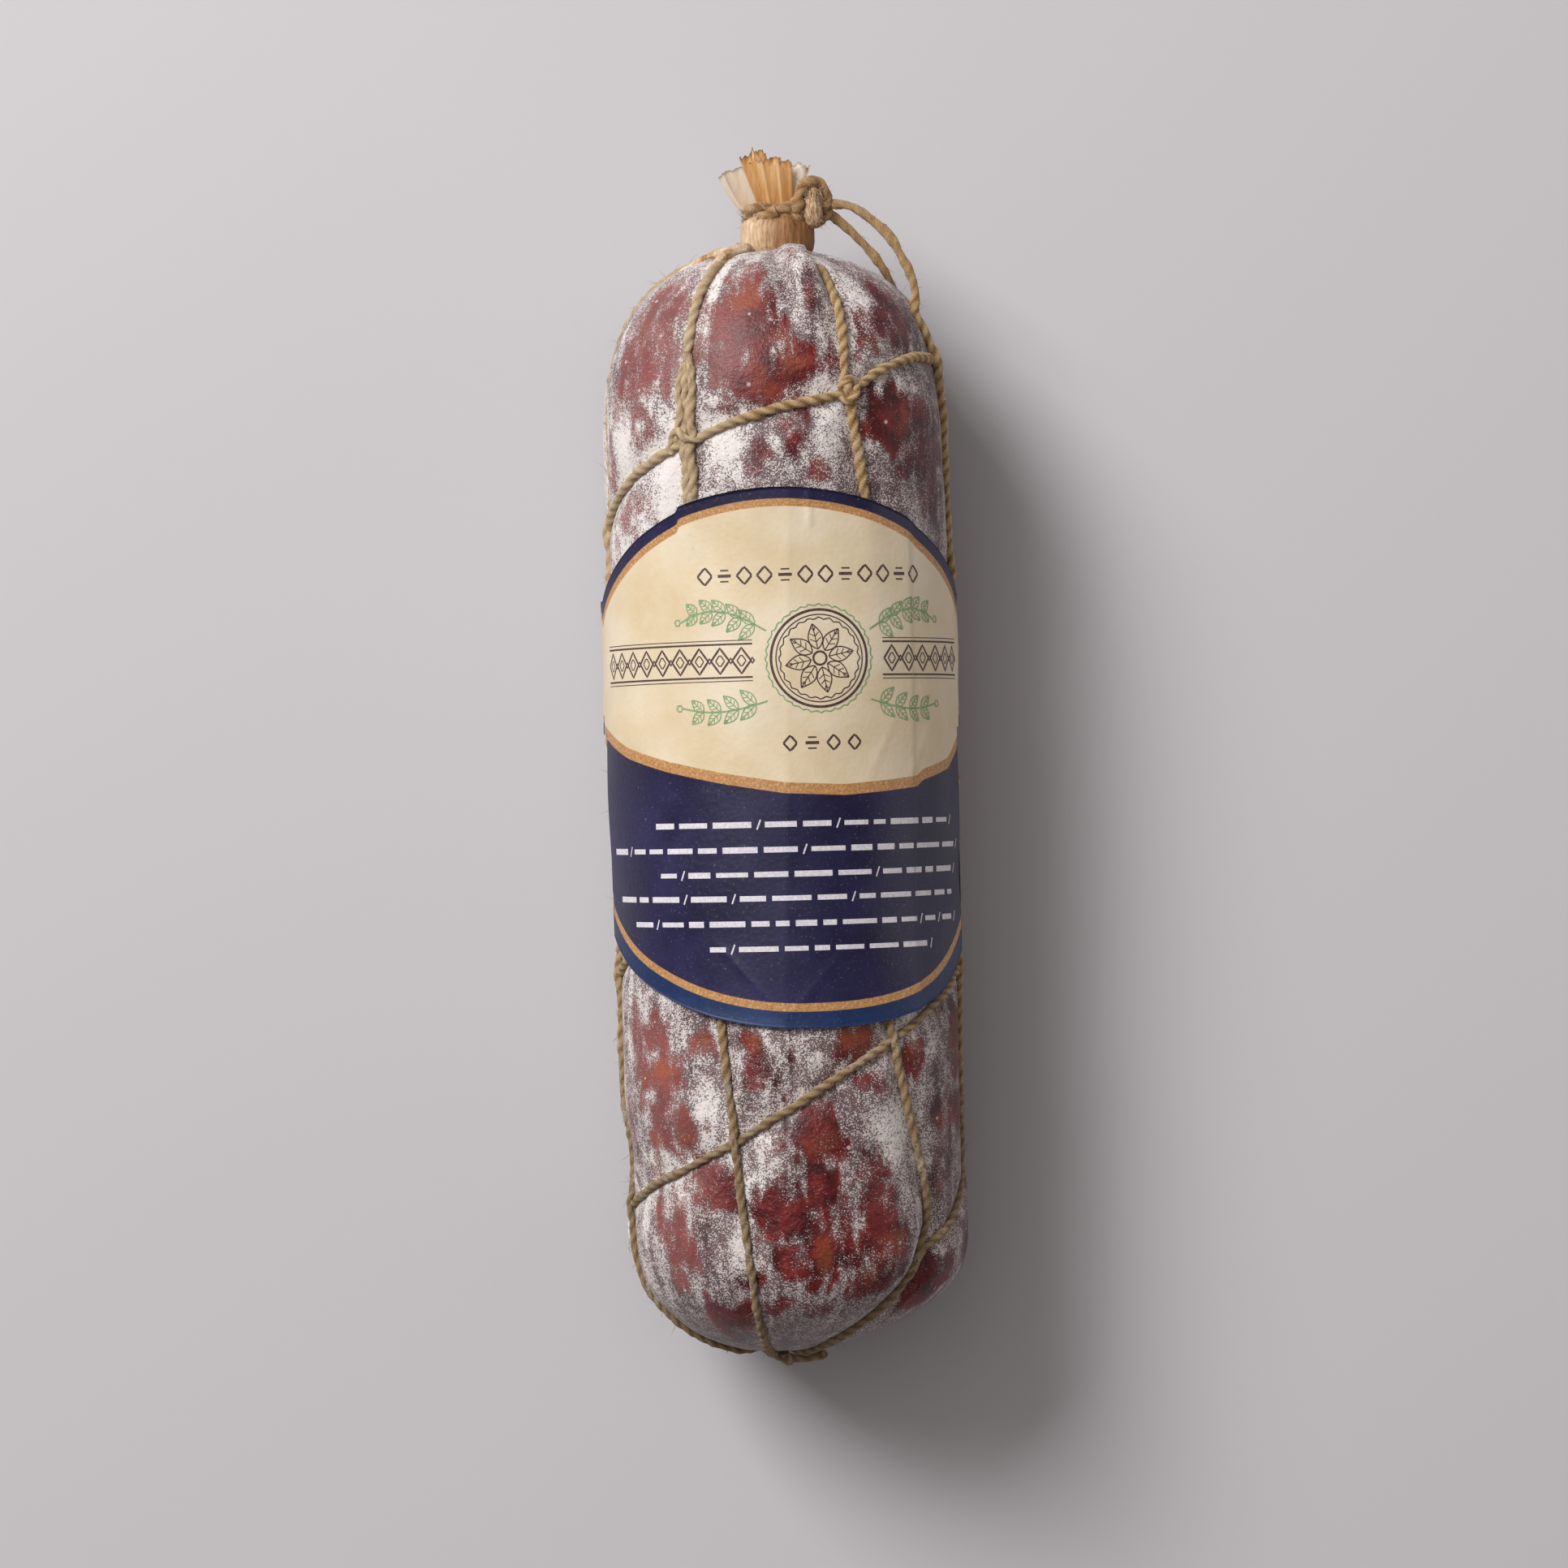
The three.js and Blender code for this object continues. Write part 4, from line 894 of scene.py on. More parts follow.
# Painted shade: darker and browner towards +X, the side away from the window light
brown = node(dry_skin, "MapRange", skin_x, -0.0040, 0.0035, **SMOOTHLY)
dry_colour = node(dry_skin, "Mix", brown, i6=dry_colour, i7=linear("#b89a78"), blend_type="MULTIPLY", **COLOURS)
dry_shader = node(
    dry_skin, "BsdfPrincipled", Base_Color=dry_colour, IOR=1.45,
    Roughness=node(dry_skin, "MapRange", skin_fibres, 0.3, 0.7, 0.45, 0.75, **SMOOTHLY),
    Normal=node(dry_skin, "Bump", Height=skin_fibres, Distance=0.00025, Strength=0.8),
    Subsurface_Weight=0.1, Subsurface_Scale=0.001, Subsurface_Radius=(1.0, 0.5, 0.25),
)
node(dry_skin, "OutputMaterial", Surface=dry_shader)
collar_mesh = thin_sheet(collar_points[:, ::-1], 0.5, True)
make_piece("gathered_collar", *collar_mesh, dry_skin, ["casing_end"], "dry_casing")

# Each leaf of the tuft: root X and half width, tip X and half width, tip Y at left, middle and
# right, root and tip height over the neck, pleats, pleat depth, bow to the front, ragged edge, flare
LEAVES = {
    "amber_back": ((1.6, 2.5, -0.5, 4.2), (104.8, 106.2, 104.8), (-1.0, -0.8), 3, 0.16, -0.6, 0.35, 0.9),
    "amber_front": ((1.8, 2.2, 0.8, 3.0), (104.9, 105.9, 104.4), (0.9, 1.3), 3, 0.2, 0.9, 0.4, 0.9),
    "amber_middle": ((0.7, 1.5, -2.7, 2.2), (105.0, 106.9, 106.4), (0.5, 1.0), 2, 0.18, 0.4, 0.4, 0.85),
    "pale_left": ((-0.7, 1.6, -5.2, 3.3), (102.8, 104.2, 104.9), (-0.3, 0.2), 1, 0.22, 0.4, 0.22, 0.52),
    "pale_right": ((3.2, 1.3, 4.9, 2.2), (104.4, 104.6, 104.0), (-0.6, -0.2), 1, 0.2, 0.3, 0.3, 0.7),
}
LEAF_ROOT_Y = 95.6


def leaf_grid(name, rows=54, columns=96):
    """A pleated leaf of the tuft as a grid of points, and its place from root to tip."""
    (root_x, root_half, tip_x, tip_half), tips, heights, pleats, depth, bow, ragged, flare = LEAVES[name]
    seed = 90 + list(LEAVES).index(name)
    side, rise = np.meshgrid(np.linspace(-1, 1, columns), np.linspace(0, 1, rows))
    tip_y = np.interp(side, (-1, 0, 1), tips)
    torn = np.stack([side * 3, 0 * side, 0 * side + seed], axis=-1)
    tears = soft_noise(torn, seed) + soft_noise(torn * 3, seed) + 0.5 * soft_noise(torn * 9, seed)
    tip_y = tip_y + ragged * tears
    spread = rise ** flare
    centre = root_x + (tip_x - root_x) * spread
    half = root_half + (tip_half - root_half) * spread
    wave = 0.7 * pleats * math.pi * side + 2.8 * soft_noise(torn * 0.8, seed + 10)
    deep_pleat = 0.8 * depth * (0.35 + 0.65 * rise) * (1 + 0.4 * soft_noise(torn, seed + 20))
    place_x = centre + half * (side + 0.06 / pleats * np.sin(wave + 1.2))
    place_y = LEAF_ROOT_Y + (tip_y - LEAF_ROOT_Y) * rise
    curl = 0.5 * smooth((rise - 0.86) / 0.14) * soft_noise(torn * 1.5, seed + 30)
    base_z = heights[0] + (heights[1] - heights[0]) * rise
    place_z = NECK_HEIGHT + base_z + bow * np.sqrt(np.maximum(1 - side ** 2, 0)) * (1 - 0.3 * rise)
    place_z = place_z + deep_pleat * np.sin(wave) + curl
    return np.stack([place_x, place_y, place_z], axis=-1), rise, np.sin(wave)


# Thin dried gut, torn and stretched until it lets light through. The eye sees amber in the folds,
# paler edges, and small dark specks near the tips; painted shade and light darken and lighten it across the pleats.
# Widths in mm:
VEIN_WIDTH = 0.6667
VEIN_STRETCH = 0.1
SPECK_SPACING = 1.613


def leaf_skin(name, deep_code, fair_code, pale_code, clear):
    """The skin of a leaf: its three tones, and how much light goes through."""
    leaf_look = new_material(name)
    place = node(leaf_look, "TexCoord", out="Object")
    pulled = node(leaf_look, "Mapping", Vector=place, Scale=(1.0, VEIN_STRETCH, 1.0))
    veins = node(leaf_look, "TexNoise", Vector=pulled, Scale=1000 / VEIN_WIDTH, Detail=3.0, Roughness=0.6)
    fold = node(leaf_look, "Attribute", attribute_name="fold", out="Fac")
    rise = node(leaf_look, "Attribute", attribute_name="rise", out="Fac")
    tone = node(leaf_look, "Math", veins, 0.75, -0.06, operation="MULTIPLY_ADD")
    # Painted shade and light across the pleats, following each pleat's wave
    tone = node(leaf_look, "Math", fold, 0.10, tone, operation="MULTIPLY_ADD")
    tone = node(leaf_look, "Math", rise, 0.26, tone, operation="MULTIPLY_ADD")
    colour = node(leaf_look, "ValToRGB", tone, stops=[(0.22, deep_code), (0.5, fair_code), (0.8, pale_code)])
    scorched = node(leaf_look, "MapRange", rise, 0.93, 1.0, 0.0, 0.55, **SMOOTHLY)
    colour = node(leaf_look, "Mix", scorched, i6=colour, i7=linear("#8a5a2e"), **COLOURS)
    specks = node(leaf_look, "TexVoronoi", Vector=place, Scale=1000 / SPECK_SPACING, out="Distance")
    small = node(leaf_look, "Math", specks, 0.2, operation="LESS_THAN")
    chance = node(leaf_look, "SeparateColor", specks.node.outputs["Color"], out=1)
    near_tip = node(leaf_look, "MapRange", rise, 0.6, 0.95, 1.0, 0.72, **SMOOTHLY)
    chosen = node(leaf_look, "Math", chance, near_tip, operation="GREATER_THAN")
    dark_speck = node(leaf_look, "Math", small, chosen, operation="MULTIPLY")
    colour = node(leaf_look, "Mix", dark_speck, i6=colour, i7=linear("#4a2c1c"), **COLOURS)
    shader = node(
        leaf_look, "BsdfPrincipled", Base_Color=colour, IOR=1.4, Transmission_Weight=clear,
        Roughness=node(leaf_look, "MapRange", veins, 0.3, 0.7, 0.3, 0.5, **SMOOTHLY),
        Normal=node(leaf_look, "Bump", Height=veins, Distance=0.0001, Strength=0.5),
        Subsurface_Weight=0.3, Subsurface_Scale=0.0003, Subsurface_Radius=(1.0, 0.7, 0.4),
    )
    node(leaf_look, "OutputMaterial", Surface=shader)
    return leaf_look


amber_skin = leaf_skin("amber_leaf_skin", "#c98a48", "#e8b574", "#f6dbb0", 0.3)
pale_skin = leaf_skin("pale_leaf_skin", "#e2c4a2", "#f2dfca", "#f9efe3", 0.45)
for name in LEAVES:
    leaf_points, leaf_rise, painted_pleat_shade = leaf_grid(name)
    leaf = make_piece("tuft_" + name, *thin_sheet(leaf_points, 0.14),
                      pale_skin if name.startswith("pale") else amber_skin, slot="dry_casing")
    set_values(leaf, "rise", np.tile(leaf_rise.ravel(), 2))
    set_values(leaf, "fold", np.tile(painted_pleat_shade.ravel(), 2))

# Gathered ridges of the same skin on the casing just below the collar: one down over the left
# shoulder, and a short one onto the end of the left front string. Angle, Y, height over the casing and half thickness
RIDGES = [
    [(-44, 89.2, -0.1, 1.1), (-54, 88.9, 0.2, 1.0), (-62, 88.5, 0.2, 0.85), (-72, 87.9, 0.0, 0.7),
     (-80, 87.1, -0.2, 0.55), (-86, 86.0, -0.6, 0.3)],
    [(-24, 89.3, 0.0, 1.1), (-30, 88.9, 0.3, 1.15), (-33, 88.0, 0.4, 1.05), (-32, 86.6, 0.4, 0.9),
     (-31, 85.0, 0.1, 0.5)],
]
ridge_parts = []
for route in RIDGES:
    ridge_angle, ridge_y, ridge_lift, ridge_half = np.array(route).T
    ridge_path = rounded(surface_path(ridge_angle, ridge_y, ridge_lift), 0.25)
    ridge_size = np.interp(np.linspace(0, 1, len(ridge_path)), np.linspace(0, 1, len(route)), ridge_half)
    ridge_parts.append(tube(ridge_path, ridge_size, 24, 0.16, 40, 7, 0.16, 3))
ridge_mesh = joined(ridge_parts)
make_piece("casing_ridge", ridge_mesh[0], [ridge_mesh[1], ridge_mesh[2]], dry_skin, slot="dry_casing")


# The tie: two strands of the same twine, rusty where they are damp, wound round the neck and
# finished in an overhand loop that grips a pale frayed end.
TIE_Y = 96.0
TIE_HALF_WIDTH = 4.75
TIE_HALF_HEIGHT = 4.4
TIE_WRAPS = 3
TIE_STRAND_OFFSET = 0.42
TIE_STRAND_SWAY = 0.88
TIE_STRAND_RADIUS = 0.95
TIE_HAIRS = 900
TAIL_HAIRS = 220

tie_turn = np.linspace(0, 2 * math.pi, 160)
tie_parts = []
for phase in (0.0, math.pi):
    roll = tie_turn * TIE_WRAPS + phase
    tie_path = np.stack([
        NECK_X + 0.1 + (TIE_HALF_WIDTH + TIE_STRAND_OFFSET * np.cos(roll)) * np.sin(tie_turn),
        TIE_Y + TIE_STRAND_SWAY * np.sin(roll) - 0.25 * np.sin(tie_turn),
        NECK_HEIGHT + (TIE_HALF_HEIGHT + TIE_STRAND_OFFSET * np.cos(roll)) * np.cos(tie_turn),
    ], axis=-1)
    tie_parts.append(tube(evened(tie_path, 0.3), TIE_STRAND_RADIUS, depth=0.13, pitch=4.6, rough=0.16,
                          seed=3 + int(phase)))
LOOP_ROUTE = [
    (2.6, 95.8, 33.0), (4.0, 96.3, 32.9), (4.8, 98.0, 32.6), (5.3, 99.8, 32.1), (6.7, 101.1, 31.7),
    (8.4, 101.0, 31.3), (9.4, 99.5, 30.9), (9.5, 97.6, 30.4), (9.1, 95.8, 29.9), (7.8, 94.6, 29.6),
    (6.0, 94.6, 29.8),
]
tie_parts.append(tube(rounded(LOOP_ROUTE, 0.3), 0.96, pitch=5.2, depth=0.14, rough=0.2, seed=7))
inner_route = [(4.6, 95.6, 32.0), (6.0, 96.6, 31.4), (7.6, 96.4, 30.8), (8.9, 97.4, 30.2)]
tie_parts.append(tube(rounded(inner_route, 0.3), 0.9, seed=8))
tie_parts += hairs([part[0][:-2:TWINE_SIDES] for part in tie_parts], TIE_HAIRS, 0.3, 72, (0.4, 1.8), 0.06)
rusty = hemp.copy()
rusty.name = "damp_hemp_twine"
for part_node in rusty.node_tree.nodes:
    if part_node.type == "VALTORGB":
        for element, code in zip(part_node.color_ramp.elements, ("#4c2911", "#85552b", "#b78550", "#e3c295")):
            element.color = linear(code)
make_twine("neck_tie_strands", tie_parts, rusty, ["neck_tie"], "twine")

TAIL_ROUTE = [(7.4, 100.4, 31.2), (7.3, 98.8, 31.9), (7.2, 97.0, 32.1), (7.2, 95.3, 31.7), (7.1, 93.7, 30.8)]
tail_path = rounded(TAIL_ROUTE, 0.2)
tail_size = np.interp(np.linspace(0, 1, len(tail_path)), (0, 0.2, 0.6, 0.85, 1), (0.5, 1.15, 1.7, 1.6, 0.8))
tail_parts = [tube(tail_path, tail_size, 40, 0.1, 60, 13, 0.1, 5)]
tail_mesh = joined(tail_parts + hairs([tail_path], TAIL_HAIRS, 1.35, 73, (1.0, 2.6), 0.08))

# Frayed hemp: the twine's own fibres, combed apart where it was cut, so the eye sees pale threads
# with dark gaps. The threads are bundles of fibres. Widths in mm:
THREAD_WIDTH = 0.2778
THREAD_STRETCH = 0.15

pale_fibre = new_material("frayed_pale_fibre")
tail_place = node(pale_fibre, "TexCoord", out="Object")
combed = node(pale_fibre, "Mapping", Vector=tail_place, Scale=(1.0, THREAD_STRETCH, 1.0))
threads = node(pale_fibre, "TexNoise", Vector=combed, Scale=1000 / THREAD_WIDTH, Detail=2.0, Roughness=0.7)
tail_colour = node(pale_fibre, "ValToRGB", threads,
                   stops=[(0.3, "#7a583a"), (0.46, "#b08c65"), (0.7, "#e2cdb3")])
tail_shader = node(pale_fibre, "BsdfPrincipled", Base_Color=tail_colour, Roughness=0.8, IOR=1.45,
                   Normal=node(pale_fibre, "Bump", Height=threads, Distance=0.0002, Strength=0.7))
node(pale_fibre, "OutputMaterial", Surface=tail_shader)
make_piece("frayed_end", tail_mesh[0], [tail_mesh[1], tail_mesh[2]], pale_fibre, slot="twine")


# The belly label: thin satin paper glued round the front, with a cream lens-shaped field, navy
# edge and skirt and copper lines. It bridges the valleys of the casing and has small pleats.
LABEL_LIFT = 0.48
PAPER_DENT_DEPTH = 0.16
LABEL_THICKNESS = 0.22
LABEL_RADIUS = 29.8
LABEL_BAND_Y = 20.2
LABEL_BAND_HALF = 11.2
LABEL_END = 54.0
LABEL_SHOULDER = 42.3
SKIRT_HALF = 40.0
UPPER_SHARE = 0.404
SKIRT_BOTTOM_Y = -39.75
SKIRT_BOTTOM_ARC = 3.0
NAVY_EDGE = 1.9
COPPER_EDGE = 1.25
LOWER_COPPER = 1.65
SKIRT_MARGIN = 2.75
SKIRT_LINE = 1.35

# Small slanting dents in the paper: place round the curve in mm and Y, slant and height
PAPER_DENTS = [(17, 6, 0.5, 0.14), (24, 3, 0.6, 0.14), (27, 12, -0.35, 0.1), (-24, 27, 0.4, 0.1)]

# Lower edge of the cream field: place round the curve in mm and Y
CREAM_EDGE = [(-42.5, 10.7), (-38, 9.5), (-30, 6.6), (-20, 4.1), (-10, 2.0), (0, 0.3), (10, -0.25), (18, 0.3),
              (24.5, 0.9), (26, 1.9), (34, 3.7), (40, 7.4), (42.5, 9.6)]


def band_share(arc):
    """How far along the round end of the side band a place is, from 0 to 1."""
    return np.clip((np.abs(arc) - LABEL_SHOULDER) / (LABEL_END - LABEL_SHOULDER), 0, 1)


def label_top(arc):
    share = band_share(arc)
    middle = 48.25 - 0.0095 * arc ** 2 - 0.7 * smooth((-16.6 - arc) / 0.8) - 0.35 * smooth((arc - 24) / 1.5)
    end = LABEL_BAND_Y + LABEL_BAND_HALF * np.sqrt(1 - share ** 2)
    return np.where(share > 0, np.minimum(end, middle + 6), middle)


def skirt_edge(arc):
    """Lower edge of the skirt, rounder on the left than on the right."""
    out = arc - SKIRT_BOTTOM_ARC
    return SKIRT_BOTTOM_Y + np.where(out < 0, 0.0084 * out ** 2, 0.00099 * np.abs(out) ** 2.6)


def label_bottom(arc):
    skirt = skirt_edge(arc)
    band = LABEL_BAND_Y - LABEL_BAND_HALF * np.sqrt(1 - band_share(arc) ** 2)
    return np.where(np.abs(arc) < SKIRT_HALF, skirt, band)


def label_surface(arc, y, lift=0.0):
    """Where the paper lies over a place round the curve and along Y, both in mm."""
    angle = np.degrees(arc / LABEL_RADIUS)
    radius = sausage_radius(y)
    theta = np.radians(angle)
    smooth_place = np.stack([radius * np.sin(theta), y, radius * np.cos(theta)], axis=-1)
    size = radius + PILLOW + LABEL_LIFT + lift + SWELL_HEIGHT * soft_noise(smooth_place / SWELL_LENGTH, 11)
    size += PAPER_DENT_DEPTH * soft_noise(smooth_place / DENT_LENGTH, 12)
    over_pair = np.radians(angle - string_angle("left_front", y) - 1.5) * radius
    size += 0.38 * np.exp(-((over_pair / 3.2) ** 2)) * smooth((y - 20) / 10)
    over_single = np.radians(angle - string_angle("right_front", y)) * radius
    size += 0.22 * np.exp(-((over_single / 2.6) ** 2)) * smooth((y - 24) / 10)
    size += 0.16 * np.exp(-np.abs(arc - 0.5 - 0.03 * y) / 1.6)
    size += 0.22 * smooth((arc + 17.4) / 0.8) * np.exp(-np.maximum(arc + 16.6, 0) / 5) * smooth((y - 36) / 6)
    size += 0.26 * smooth((24.2 - arc) / 0.9) * np.exp(-np.maximum(24.2 - arc, 0) / 6)
    crease = np.hypot((arc - 5.2) / 0.45, np.maximum(np.abs(y - 45) - 2.6, 0) / 0.8)
    size += 0.22 * np.exp(-(crease ** 2))
    for at, level, tilt, strength in PAPER_DENTS:
        off = (arc - at) - tilt * (y - level)
        size += strength * np.exp(-np.abs(off) / 0.8) * np.exp(-(((y - level) / 5) ** 2))
    fold = np.abs(arc + 0.5) - 0.9 * (y + 38)
    near_skirt = smooth((-24 - y) / 4) * smooth((y + 40) / 3) * (np.abs(arc) < 14)
    size += 0.16 * np.exp(-np.abs(fold) / 0.9) * near_skirt
    return np.stack([size * np.sin(theta), y, np.maximum(AXIS_HEIGHT + size * np.cos(theta), 0.1)], axis=-1)


label_arcs = np.concatenate([
    np.linspace(-53.95, -40.04, 30), np.linspace(-39.97, 39.97, 176), np.linspace(40.04, 53.95, 30)])
label_share, label_arc = np.meshgrid(np.linspace(0, 1, 168), label_arcs, indexing="ij")
upper_y, lower_y = label_top(label_arc), label_bottom(label_arc)
band_bottom = LABEL_BAND_Y - LABEL_BAND_HALF
middle_y = np.where(np.abs(label_arc) < SKIRT_HALF, band_bottom, lower_y + 0.4)
upper_rows = np.clip(label_share / UPPER_SHARE, 0, 1)
lower_rows = np.clip((label_share - UPPER_SHARE) / (1 - UPPER_SHARE), 0, 1)
label_y = upper_y + (middle_y - upper_y) * upper_rows + (lower_y - middle_y) * lower_rows
curl_share = smooth(1 - label_share * 40) + smooth(1 - (1 - label_share) * 50)
label_points = label_surface(label_arc, label_y, 0.10 * curl_share)

share = band_share(label_arc)
round_end = LABEL_BAND_HALF * (1 - np.hypot(share, (label_y - LABEL_BAND_Y) / LABEL_BAND_HALF))
slope = 1 / np.sqrt(1 + (0.019 * label_arc) ** 2)
from_top = np.where(share > 0, round_end, (label_top(label_arc) - label_y) * slope)
edge_arc, edge_y = np.array(CREAM_EDGE).T
from_cream = np.where(share > 0, 20, 0.93 * (label_y - np.interp(label_arc, edge_arc, edge_y)))
skirt_slope = skirt_edge(label_arc + 0.5) - skirt_edge(label_arc - 0.5)
from_skirt = (label_y - skirt_edge(label_arc)) / np.hypot(1, skirt_slope)
from_skirt = np.where(np.abs(label_arc) > SKIRT_HALF, 20, from_skirt)

# Satin label paper: coated wood-free paper, printed in cream, navy, blue and copper and embossed
# with a fine grain. The eye sees a low sheen, a little faded and rubbed in places. Widths in mm:
WEAR_WIDTH = 14.286
GRIT_WIDTH = 0.3846
EMBOSS_WIDTH = 0.8696
PRINT_EDGE = 0.07

paper = new_material("satin_label_paper")
paper_place = node(paper, "TexCoord", out="Object")
wear = node(paper, "TexNoise", Vector=paper_place, Scale=1000 / WEAR_WIDTH, Detail=4.0, Roughness=0.6)
grit = node(paper, "TexNoise", Vector=paper_place, Scale=1000 / GRIT_WIDTH, Detail=2.0, Roughness=0.6)
emboss = node(paper, "TexVoronoi", Vector=paper_place, Scale=1000 / EMBOSS_WIDTH, out="Distance")
top_distance, cream_distance, skirt_distance = [
    node(paper, "Attribute", attribute_name=name, out="Fac")
    for name in ("from_top", "from_cream", "from_skirt")
]
cream = node(paper, "ValToRGB", wear, stops=[(0.3, "#d9c39c"), (0.5, "#e2d0b0"), (0.7, "#e9dbc3")])
copper = node(paper, "ValToRGB", grit, stops=[(0.3, "#a8743f"), (0.55, "#c18f5c"), (0.75, "#dcb184")])
navy = node(paper, "ValToRGB", wear, stops=[(0.3, "#151231"), (0.55, "#1e1a41"), (0.75, "#2b2653")])
print_colour = node(paper, "ValToRGB", wear, stops=[(0.3, "#0d2044"), (0.6, "#132b56"), (0.8, "#1b3869")])

# Print from the blue margin of the skirt upwards, then the copper and navy bands of the top edge
for distance, line, ink in (
        (skirt_distance, SKIRT_MARGIN, copper), (skirt_distance, SKIRT_MARGIN + SKIRT_LINE, navy),
        (cream_distance, -LOWER_COPPER, copper), (cream_distance, 0, cream)):
    past = node(paper, "MapRange", distance, line - PRINT_EDGE, line + PRINT_EDGE, **SMOOTHLY)
    print_colour = node(paper, "Mix", past, i6=print_colour, i7=ink, **COLOURS)
for line, ink in ((NAVY_EDGE + COPPER_EDGE, copper), (NAVY_EDGE, navy)):
    past = node(paper, "MapRange", top_distance, line - PRINT_EDGE, line + PRINT_EDGE, **SMOOTHLY)
    print_colour = node(paper, "Mix", past, i6=ink, i7=print_colour, **COLOURS)
rubbed = node(paper, "MapRange", grit, 0.62, 0.8, 0.0, 0.18, **SMOOTHLY)
print_colour = node(paper, "Mix", rubbed, i6=print_colour, i7=linear("#d9cfc6"), **COLOURS)
paper_height = node(paper, "Math", grit, 0.3, operation="MULTIPLY")
paper_height = node(paper, "Math", emboss, 0.8, paper_height, operation="MULTIPLY_ADD")
paper_shader = node(paper, "BsdfPrincipled", Base_Color=print_colour, IOR=1.45,
                    Roughness=node(paper, "MapRange", wear, 0.3, 0.7, 0.38, 0.50, **SMOOTHLY),
                    Normal=node(paper, "Bump", Height=paper_height, Distance=0.00006, Strength=0.5))
node(paper, "OutputMaterial", Surface=paper_shader)

label_mesh = thin_sheet(label_points[:, ::-1], LABEL_THICKNESS)
label = make_piece("paper_belly_label", *label_mesh, paper, ["paper_label"], "label_paper")
for name, values in (("from_top", from_top), ("from_cream", from_cream), ("from_skirt", from_skirt)):
    set_values(label, name, np.tile(values[:, ::-1].ravel(), 2))


# Printed design: a double-ringed rosette between two leafy sprigs, rows of lozenges in brown ink,
# and rows of plain white bars on the navy skirt, each a flat film of ink on the paper.
INK_LIFT = 0.03
INK_STEP = 0.5

ink_strokes = {"brown": [], "green": [], "white": []}


def stroke(ink, points, width):
    """A printed line of the given width through points given round the curve and along Y."""
    points = np.asarray(points, float)
    run = np.concatenate([[0], np.cumsum(np.linalg.norm(np.diff(points, axis=0), axis=1))])
    stops = np.linspace(0, run[-1], max(int(run[-1] / INK_STEP) + 1, 2))
    line = np.stack([np.interp(stops, run, points[:, i]) for i in range(2)], axis=-1)
    heading = np.gradient(line, axis=0)
    heading /= np.maximum(np.linalg.norm(heading, axis=1, keepdims=True), 1e-9)
    normal = np.stack([-heading[:, 1], heading[:, 0]], axis=-1) * width / 2
    ink_strokes[ink].append(np.stack([line + normal, line - normal], axis=1))


def ring_stroke(ink, centre, radius, width, scallops=0, depth=0.0):
    turn = np.linspace(0, 2 * math.pi, 97)
    size = radius + depth * np.cos(turn * scallops)
    stroke(ink, np.stack([centre[0] + size * np.cos(turn), centre[1] + size * np.sin(turn)], axis=-1), width)


def lozenge(ink, centre, half_width, half_height, width):
    x, y = centre
    corners = [(x - half_width, y), (x, y + half_height), (x + half_width, y), (x, y - half_height)]
    stroke(ink, [*corners, corners[0]], width)


def leaf_print(ink, root, angle, length, width):
    """An outlined leaf with a midrib and side veins."""
    ahead = np.array([math.cos(angle), math.sin(angle)])
    aside = np.array([-ahead[1], ahead[0]])
    share = np.linspace(0, 1, 15)
    swell = width / 2 * np.sin(math.pi * share ** 0.8)
    middle = np.array(root) + np.outer(share * length, ahead)
    for sign in (1, -1):
        stroke(ink, middle + sign * swell[:, None] * aside, 0.2)
        for at in (4, 7, 10):
            tip = middle[at + 2] + sign * swell[at + 2] * 0.75 * aside
            stroke(ink, [middle[at], tip], 0.14)
    stroke(ink, middle, 0.16)


ROSETTE = np.array([6.3, 20.3])
ring_stroke("brown", ROSETTE, 7.9, 0.42)
ring_stroke("brown", ROSETTE, 7.1, 0.2)
ring_stroke("brown", ROSETTE, 6.5, 0.2, 24, 0.22)
ring_stroke("brown", ROSETTE, 1.1, 0.35)
ring_stroke("green", ROSETTE, 8.7, 0.22, 36, 0.25)
for petal in range(8):
    petal_angle = math.pi * petal / 4 + 0.2
    petal_root = ROSETTE + 1.5 * np.array([math.cos(petal_angle), math.sin(petal_angle)])
    leaf_print("brown", petal_root, petal_angle, 4.2, 2.4)

# Sprigs: each has a wavy stem and leaves in pairs; side is -1 on the left and +1 on the right
for side in (-1, 1):
    start = ROSETTE + (side * 8.6, -1.0)
    reach = np.linspace(0, 1, 40)
    for level, rise, amount in ((4.6, 3.4, 5), (-6.8, -1.6, 4)):
        stem_y = ROSETTE[1] + level + rise * np.sin(reach * 2.6)
        stem = np.stack([start[0] + side * reach * 14.5, stem_y], axis=-1)
        stroke("green", stem, 0.28)
        for index in range(amount):
            at = int(5 + index * 33 / amount)
            for tilt in (0.75, -0.75):
                lean = tilt if side > 0 else math.pi - tilt
                leaf_print("green", stem[at], lean, 3.6 - 0.25 * index, 1.7)
        ball = stem[-1] + (side * 0.7, 0)
        ring_stroke("green", ball, 0.55, 0.25)

# Side panels: linked lozenges between double rules
for start_arc, end_arc in ((-37.0, -4.6), (17.2, 39.0)):
    for level, width in ((22.9, 0.3), (17.5, 0.3), (23.5, 0.14), (16.9, 0.14)):
        stroke("brown", [(start_arc, level), (end_arc, level)], width)
    amount = int((end_arc - start_arc) / 3.6)
    for index in range(amount):
        middle = start_arc + (index + 0.5) * (end_arc - start_arc) / amount
        lozenge("brown", (middle, 20.2), 1.55, 2.1, 0.34)
        lozenge("brown", (middle, 20.2), 0.75, 1.05, 0.22)
        lozenge("brown", (middle + 1.8, 20.2), 0.3, 0.45, 0.3)

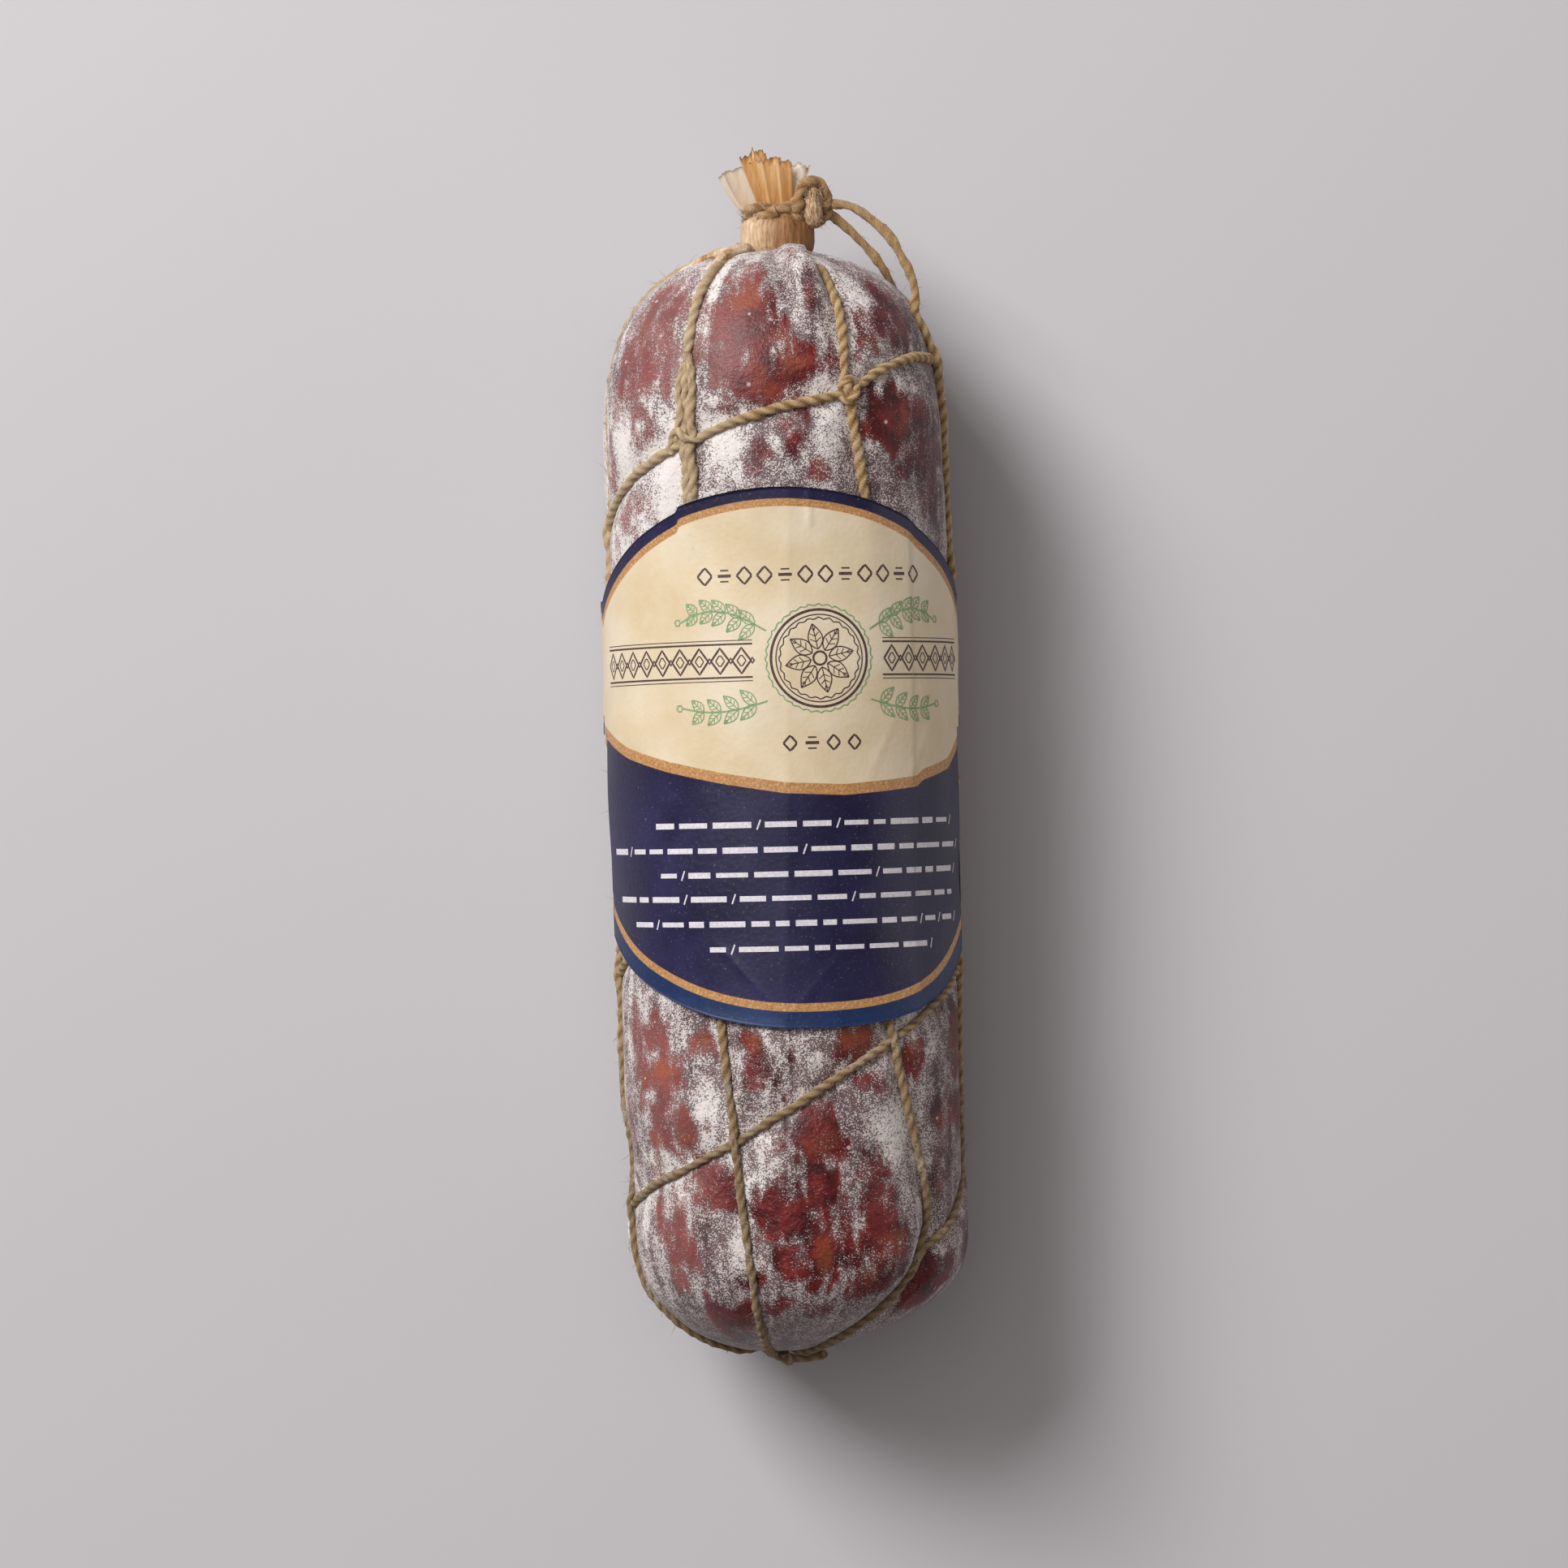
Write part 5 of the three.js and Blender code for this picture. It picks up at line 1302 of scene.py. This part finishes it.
# Heading and foot rows of small brown lozenges and dashes
for level, start_arc, end_arc, size in ((34.0, -14.0, 26.0, 1.25), (6.6, -0.6, 13.6, 1.1)):
    amount = int((end_arc - start_arc) / 3.3)
    for index in range(amount):
        middle = start_arc + (index + 0.5) * (end_arc - start_arc) / amount
        if index % 3 == 1:
            stroke("brown", [(middle - 1.1, level), (middle + 1.1, level)], 0.5)
            stroke("brown", [(middle - 0.7, level + 0.9), (middle + 0.7, level + 0.9)], 0.25)
            stroke("brown", [(middle - 0.7, level - 0.9), (middle + 0.7, level - 0.9)], 0.25)
        else:
            lozenge("brown", (middle, level), size, size * 1.15, 0.36)

# White rows on the skirt: level, left end and right end, filled with bars of uneven length
WHITE_ROWS = [
    (-6.5, -23, 33), (-10.6, -36, 36), (-14.6, -22, 35), (-18.5, -34, 35), (-22.6, -29, 35),
    (-26.7, -13, 26),
]
bar_lengths = np.random.default_rng(61)
for level, start_arc, end_arc in WHITE_ROWS:
    at = start_arc
    while at < end_arc - 1.5:
        length = min(bar_lengths.uniform(2.2, 6.5), end_arc - at)
        height = bar_lengths.uniform(0.75, 1.0)
        stroke("white", [(at, level), (at + length, level)], height)
        at += length + 1.0
        if bar_lengths.uniform() < 0.25:
            stroke("white", [(at - 0.1, level - 0.8), (at + 0.5, level + 0.8)], 0.25)
            at += 1.2


# Offset printing ink, dried matt on the paper: the eye sees it a little uneven where the paper's
# grain shows through. Width in mm:
INK_GRAIN_WIDTH = 0.4167


def dried_ink(name, dark_code, light_code):
    """An ink of two close tones."""
    ink = new_material(name)
    place = node(ink, "TexCoord", out="Object")
    uneven = node(ink, "TexNoise", Vector=place, Scale=1000 / INK_GRAIN_WIDTH, Detail=2.0, Roughness=0.6)
    colour = node(ink, "ValToRGB", uneven, stops=[(0.35, dark_code), (0.65, light_code)])
    shader = node(ink, "BsdfPrincipled", Base_Color=colour, IOR=1.45,
                  Roughness=node(ink, "MapRange", uneven, 0.3, 0.7, 0.5, 0.6, **SMOOTHLY),
                  Normal=node(ink, "Bump", Height=uneven, Distance=0.00003, Strength=0.4))
    node(ink, "OutputMaterial", Surface=shader)
    return ink


INKS = {"brown": ("#3b2b2c", "#5c4744"), "green": ("#6f9464", "#94b083"), "white": ("#cfcad2", "#e8e4e8")}
for ink_name, codes in INKS.items():
    ink_points, ink_faces, ink_start = [], [], 0
    for ribbon in ink_strokes[ink_name]:
        film = label_surface(ribbon[..., 0], ribbon[..., 1], LABEL_THICKNESS / 2 + INK_LIFT)
        ink_points.append(film.reshape(-1, 3))
        ink_faces.append(grid_faces(len(ribbon), 2, False, ink_start))
        ink_start += 2 * len(ribbon)
    make_piece("label_print_" + ink_name, np.concatenate(ink_points), np.concatenate(ink_faces),
               dried_ink(ink_name + "_printing_ink", *codes), slot="label_paper")


# The table and the light: a plain pale floor, and soft light from a large window on the upper left,
# with a little from the room on the right and from overhead.
FLOOR_SIZE = 3.0

floor_look = new_material("pale_floor")
floor_shader = node(floor_look, "BsdfPrincipled", Base_Color=linear("#c9c7ca"), Roughness=0.6)
node(floor_look, "OutputMaterial", Surface=floor_shader)
bpy.ops.mesh.primitive_plane_add(size=FLOOR_SIZE, location=(0, 0, 0))
floor = bpy.context.object
floor.name = "floor"
floor.data.materials.append(floor_look)


def area_light(name, place, target, size, power, colour):
    data = bpy.data.lights.new(name, "AREA")
    data.shape = "RECTANGLE"
    data.size, data.size_y = size
    data.energy = power
    data.color = colour
    light = bpy.data.objects.new(name, data)
    light.location = place
    away = np.array(place) - np.array(target)
    flat = math.hypot(away[0], away[1])
    light.rotation_euler = (math.atan2(flat, away[2]), 0, math.atan2(away[0], -away[1]))
    bpy.context.collection.objects.link(light)


area_light("window", (-0.92, 0.98, 1.25), (0, 0, 0.02), (0.75, 0.75), 33.9, (0.99, 0.985, 0.985))
area_light("room", (1.1, 0.0, 0.26), (0, 0, 0.03), (0.8, 0.4), 1.5, (1.0, 0.96, 0.93))
area_light("overhead", (-0.2, 0.3, 1.3), (0, 0, 0), (0.9, 0.9), 2.4, (1.0, 0.975, 0.96))
world = bpy.data.worlds.new("soft_room")
world.use_nodes = True
world.node_tree.nodes["Background"].inputs["Color"].default_value = linear("#e8dfdc")
world.node_tree.nodes["Background"].inputs["Strength"].default_value = 0.185
bpy.context.scene.world = world
bpy.context.scene.view_settings.view_transform = "Standard"
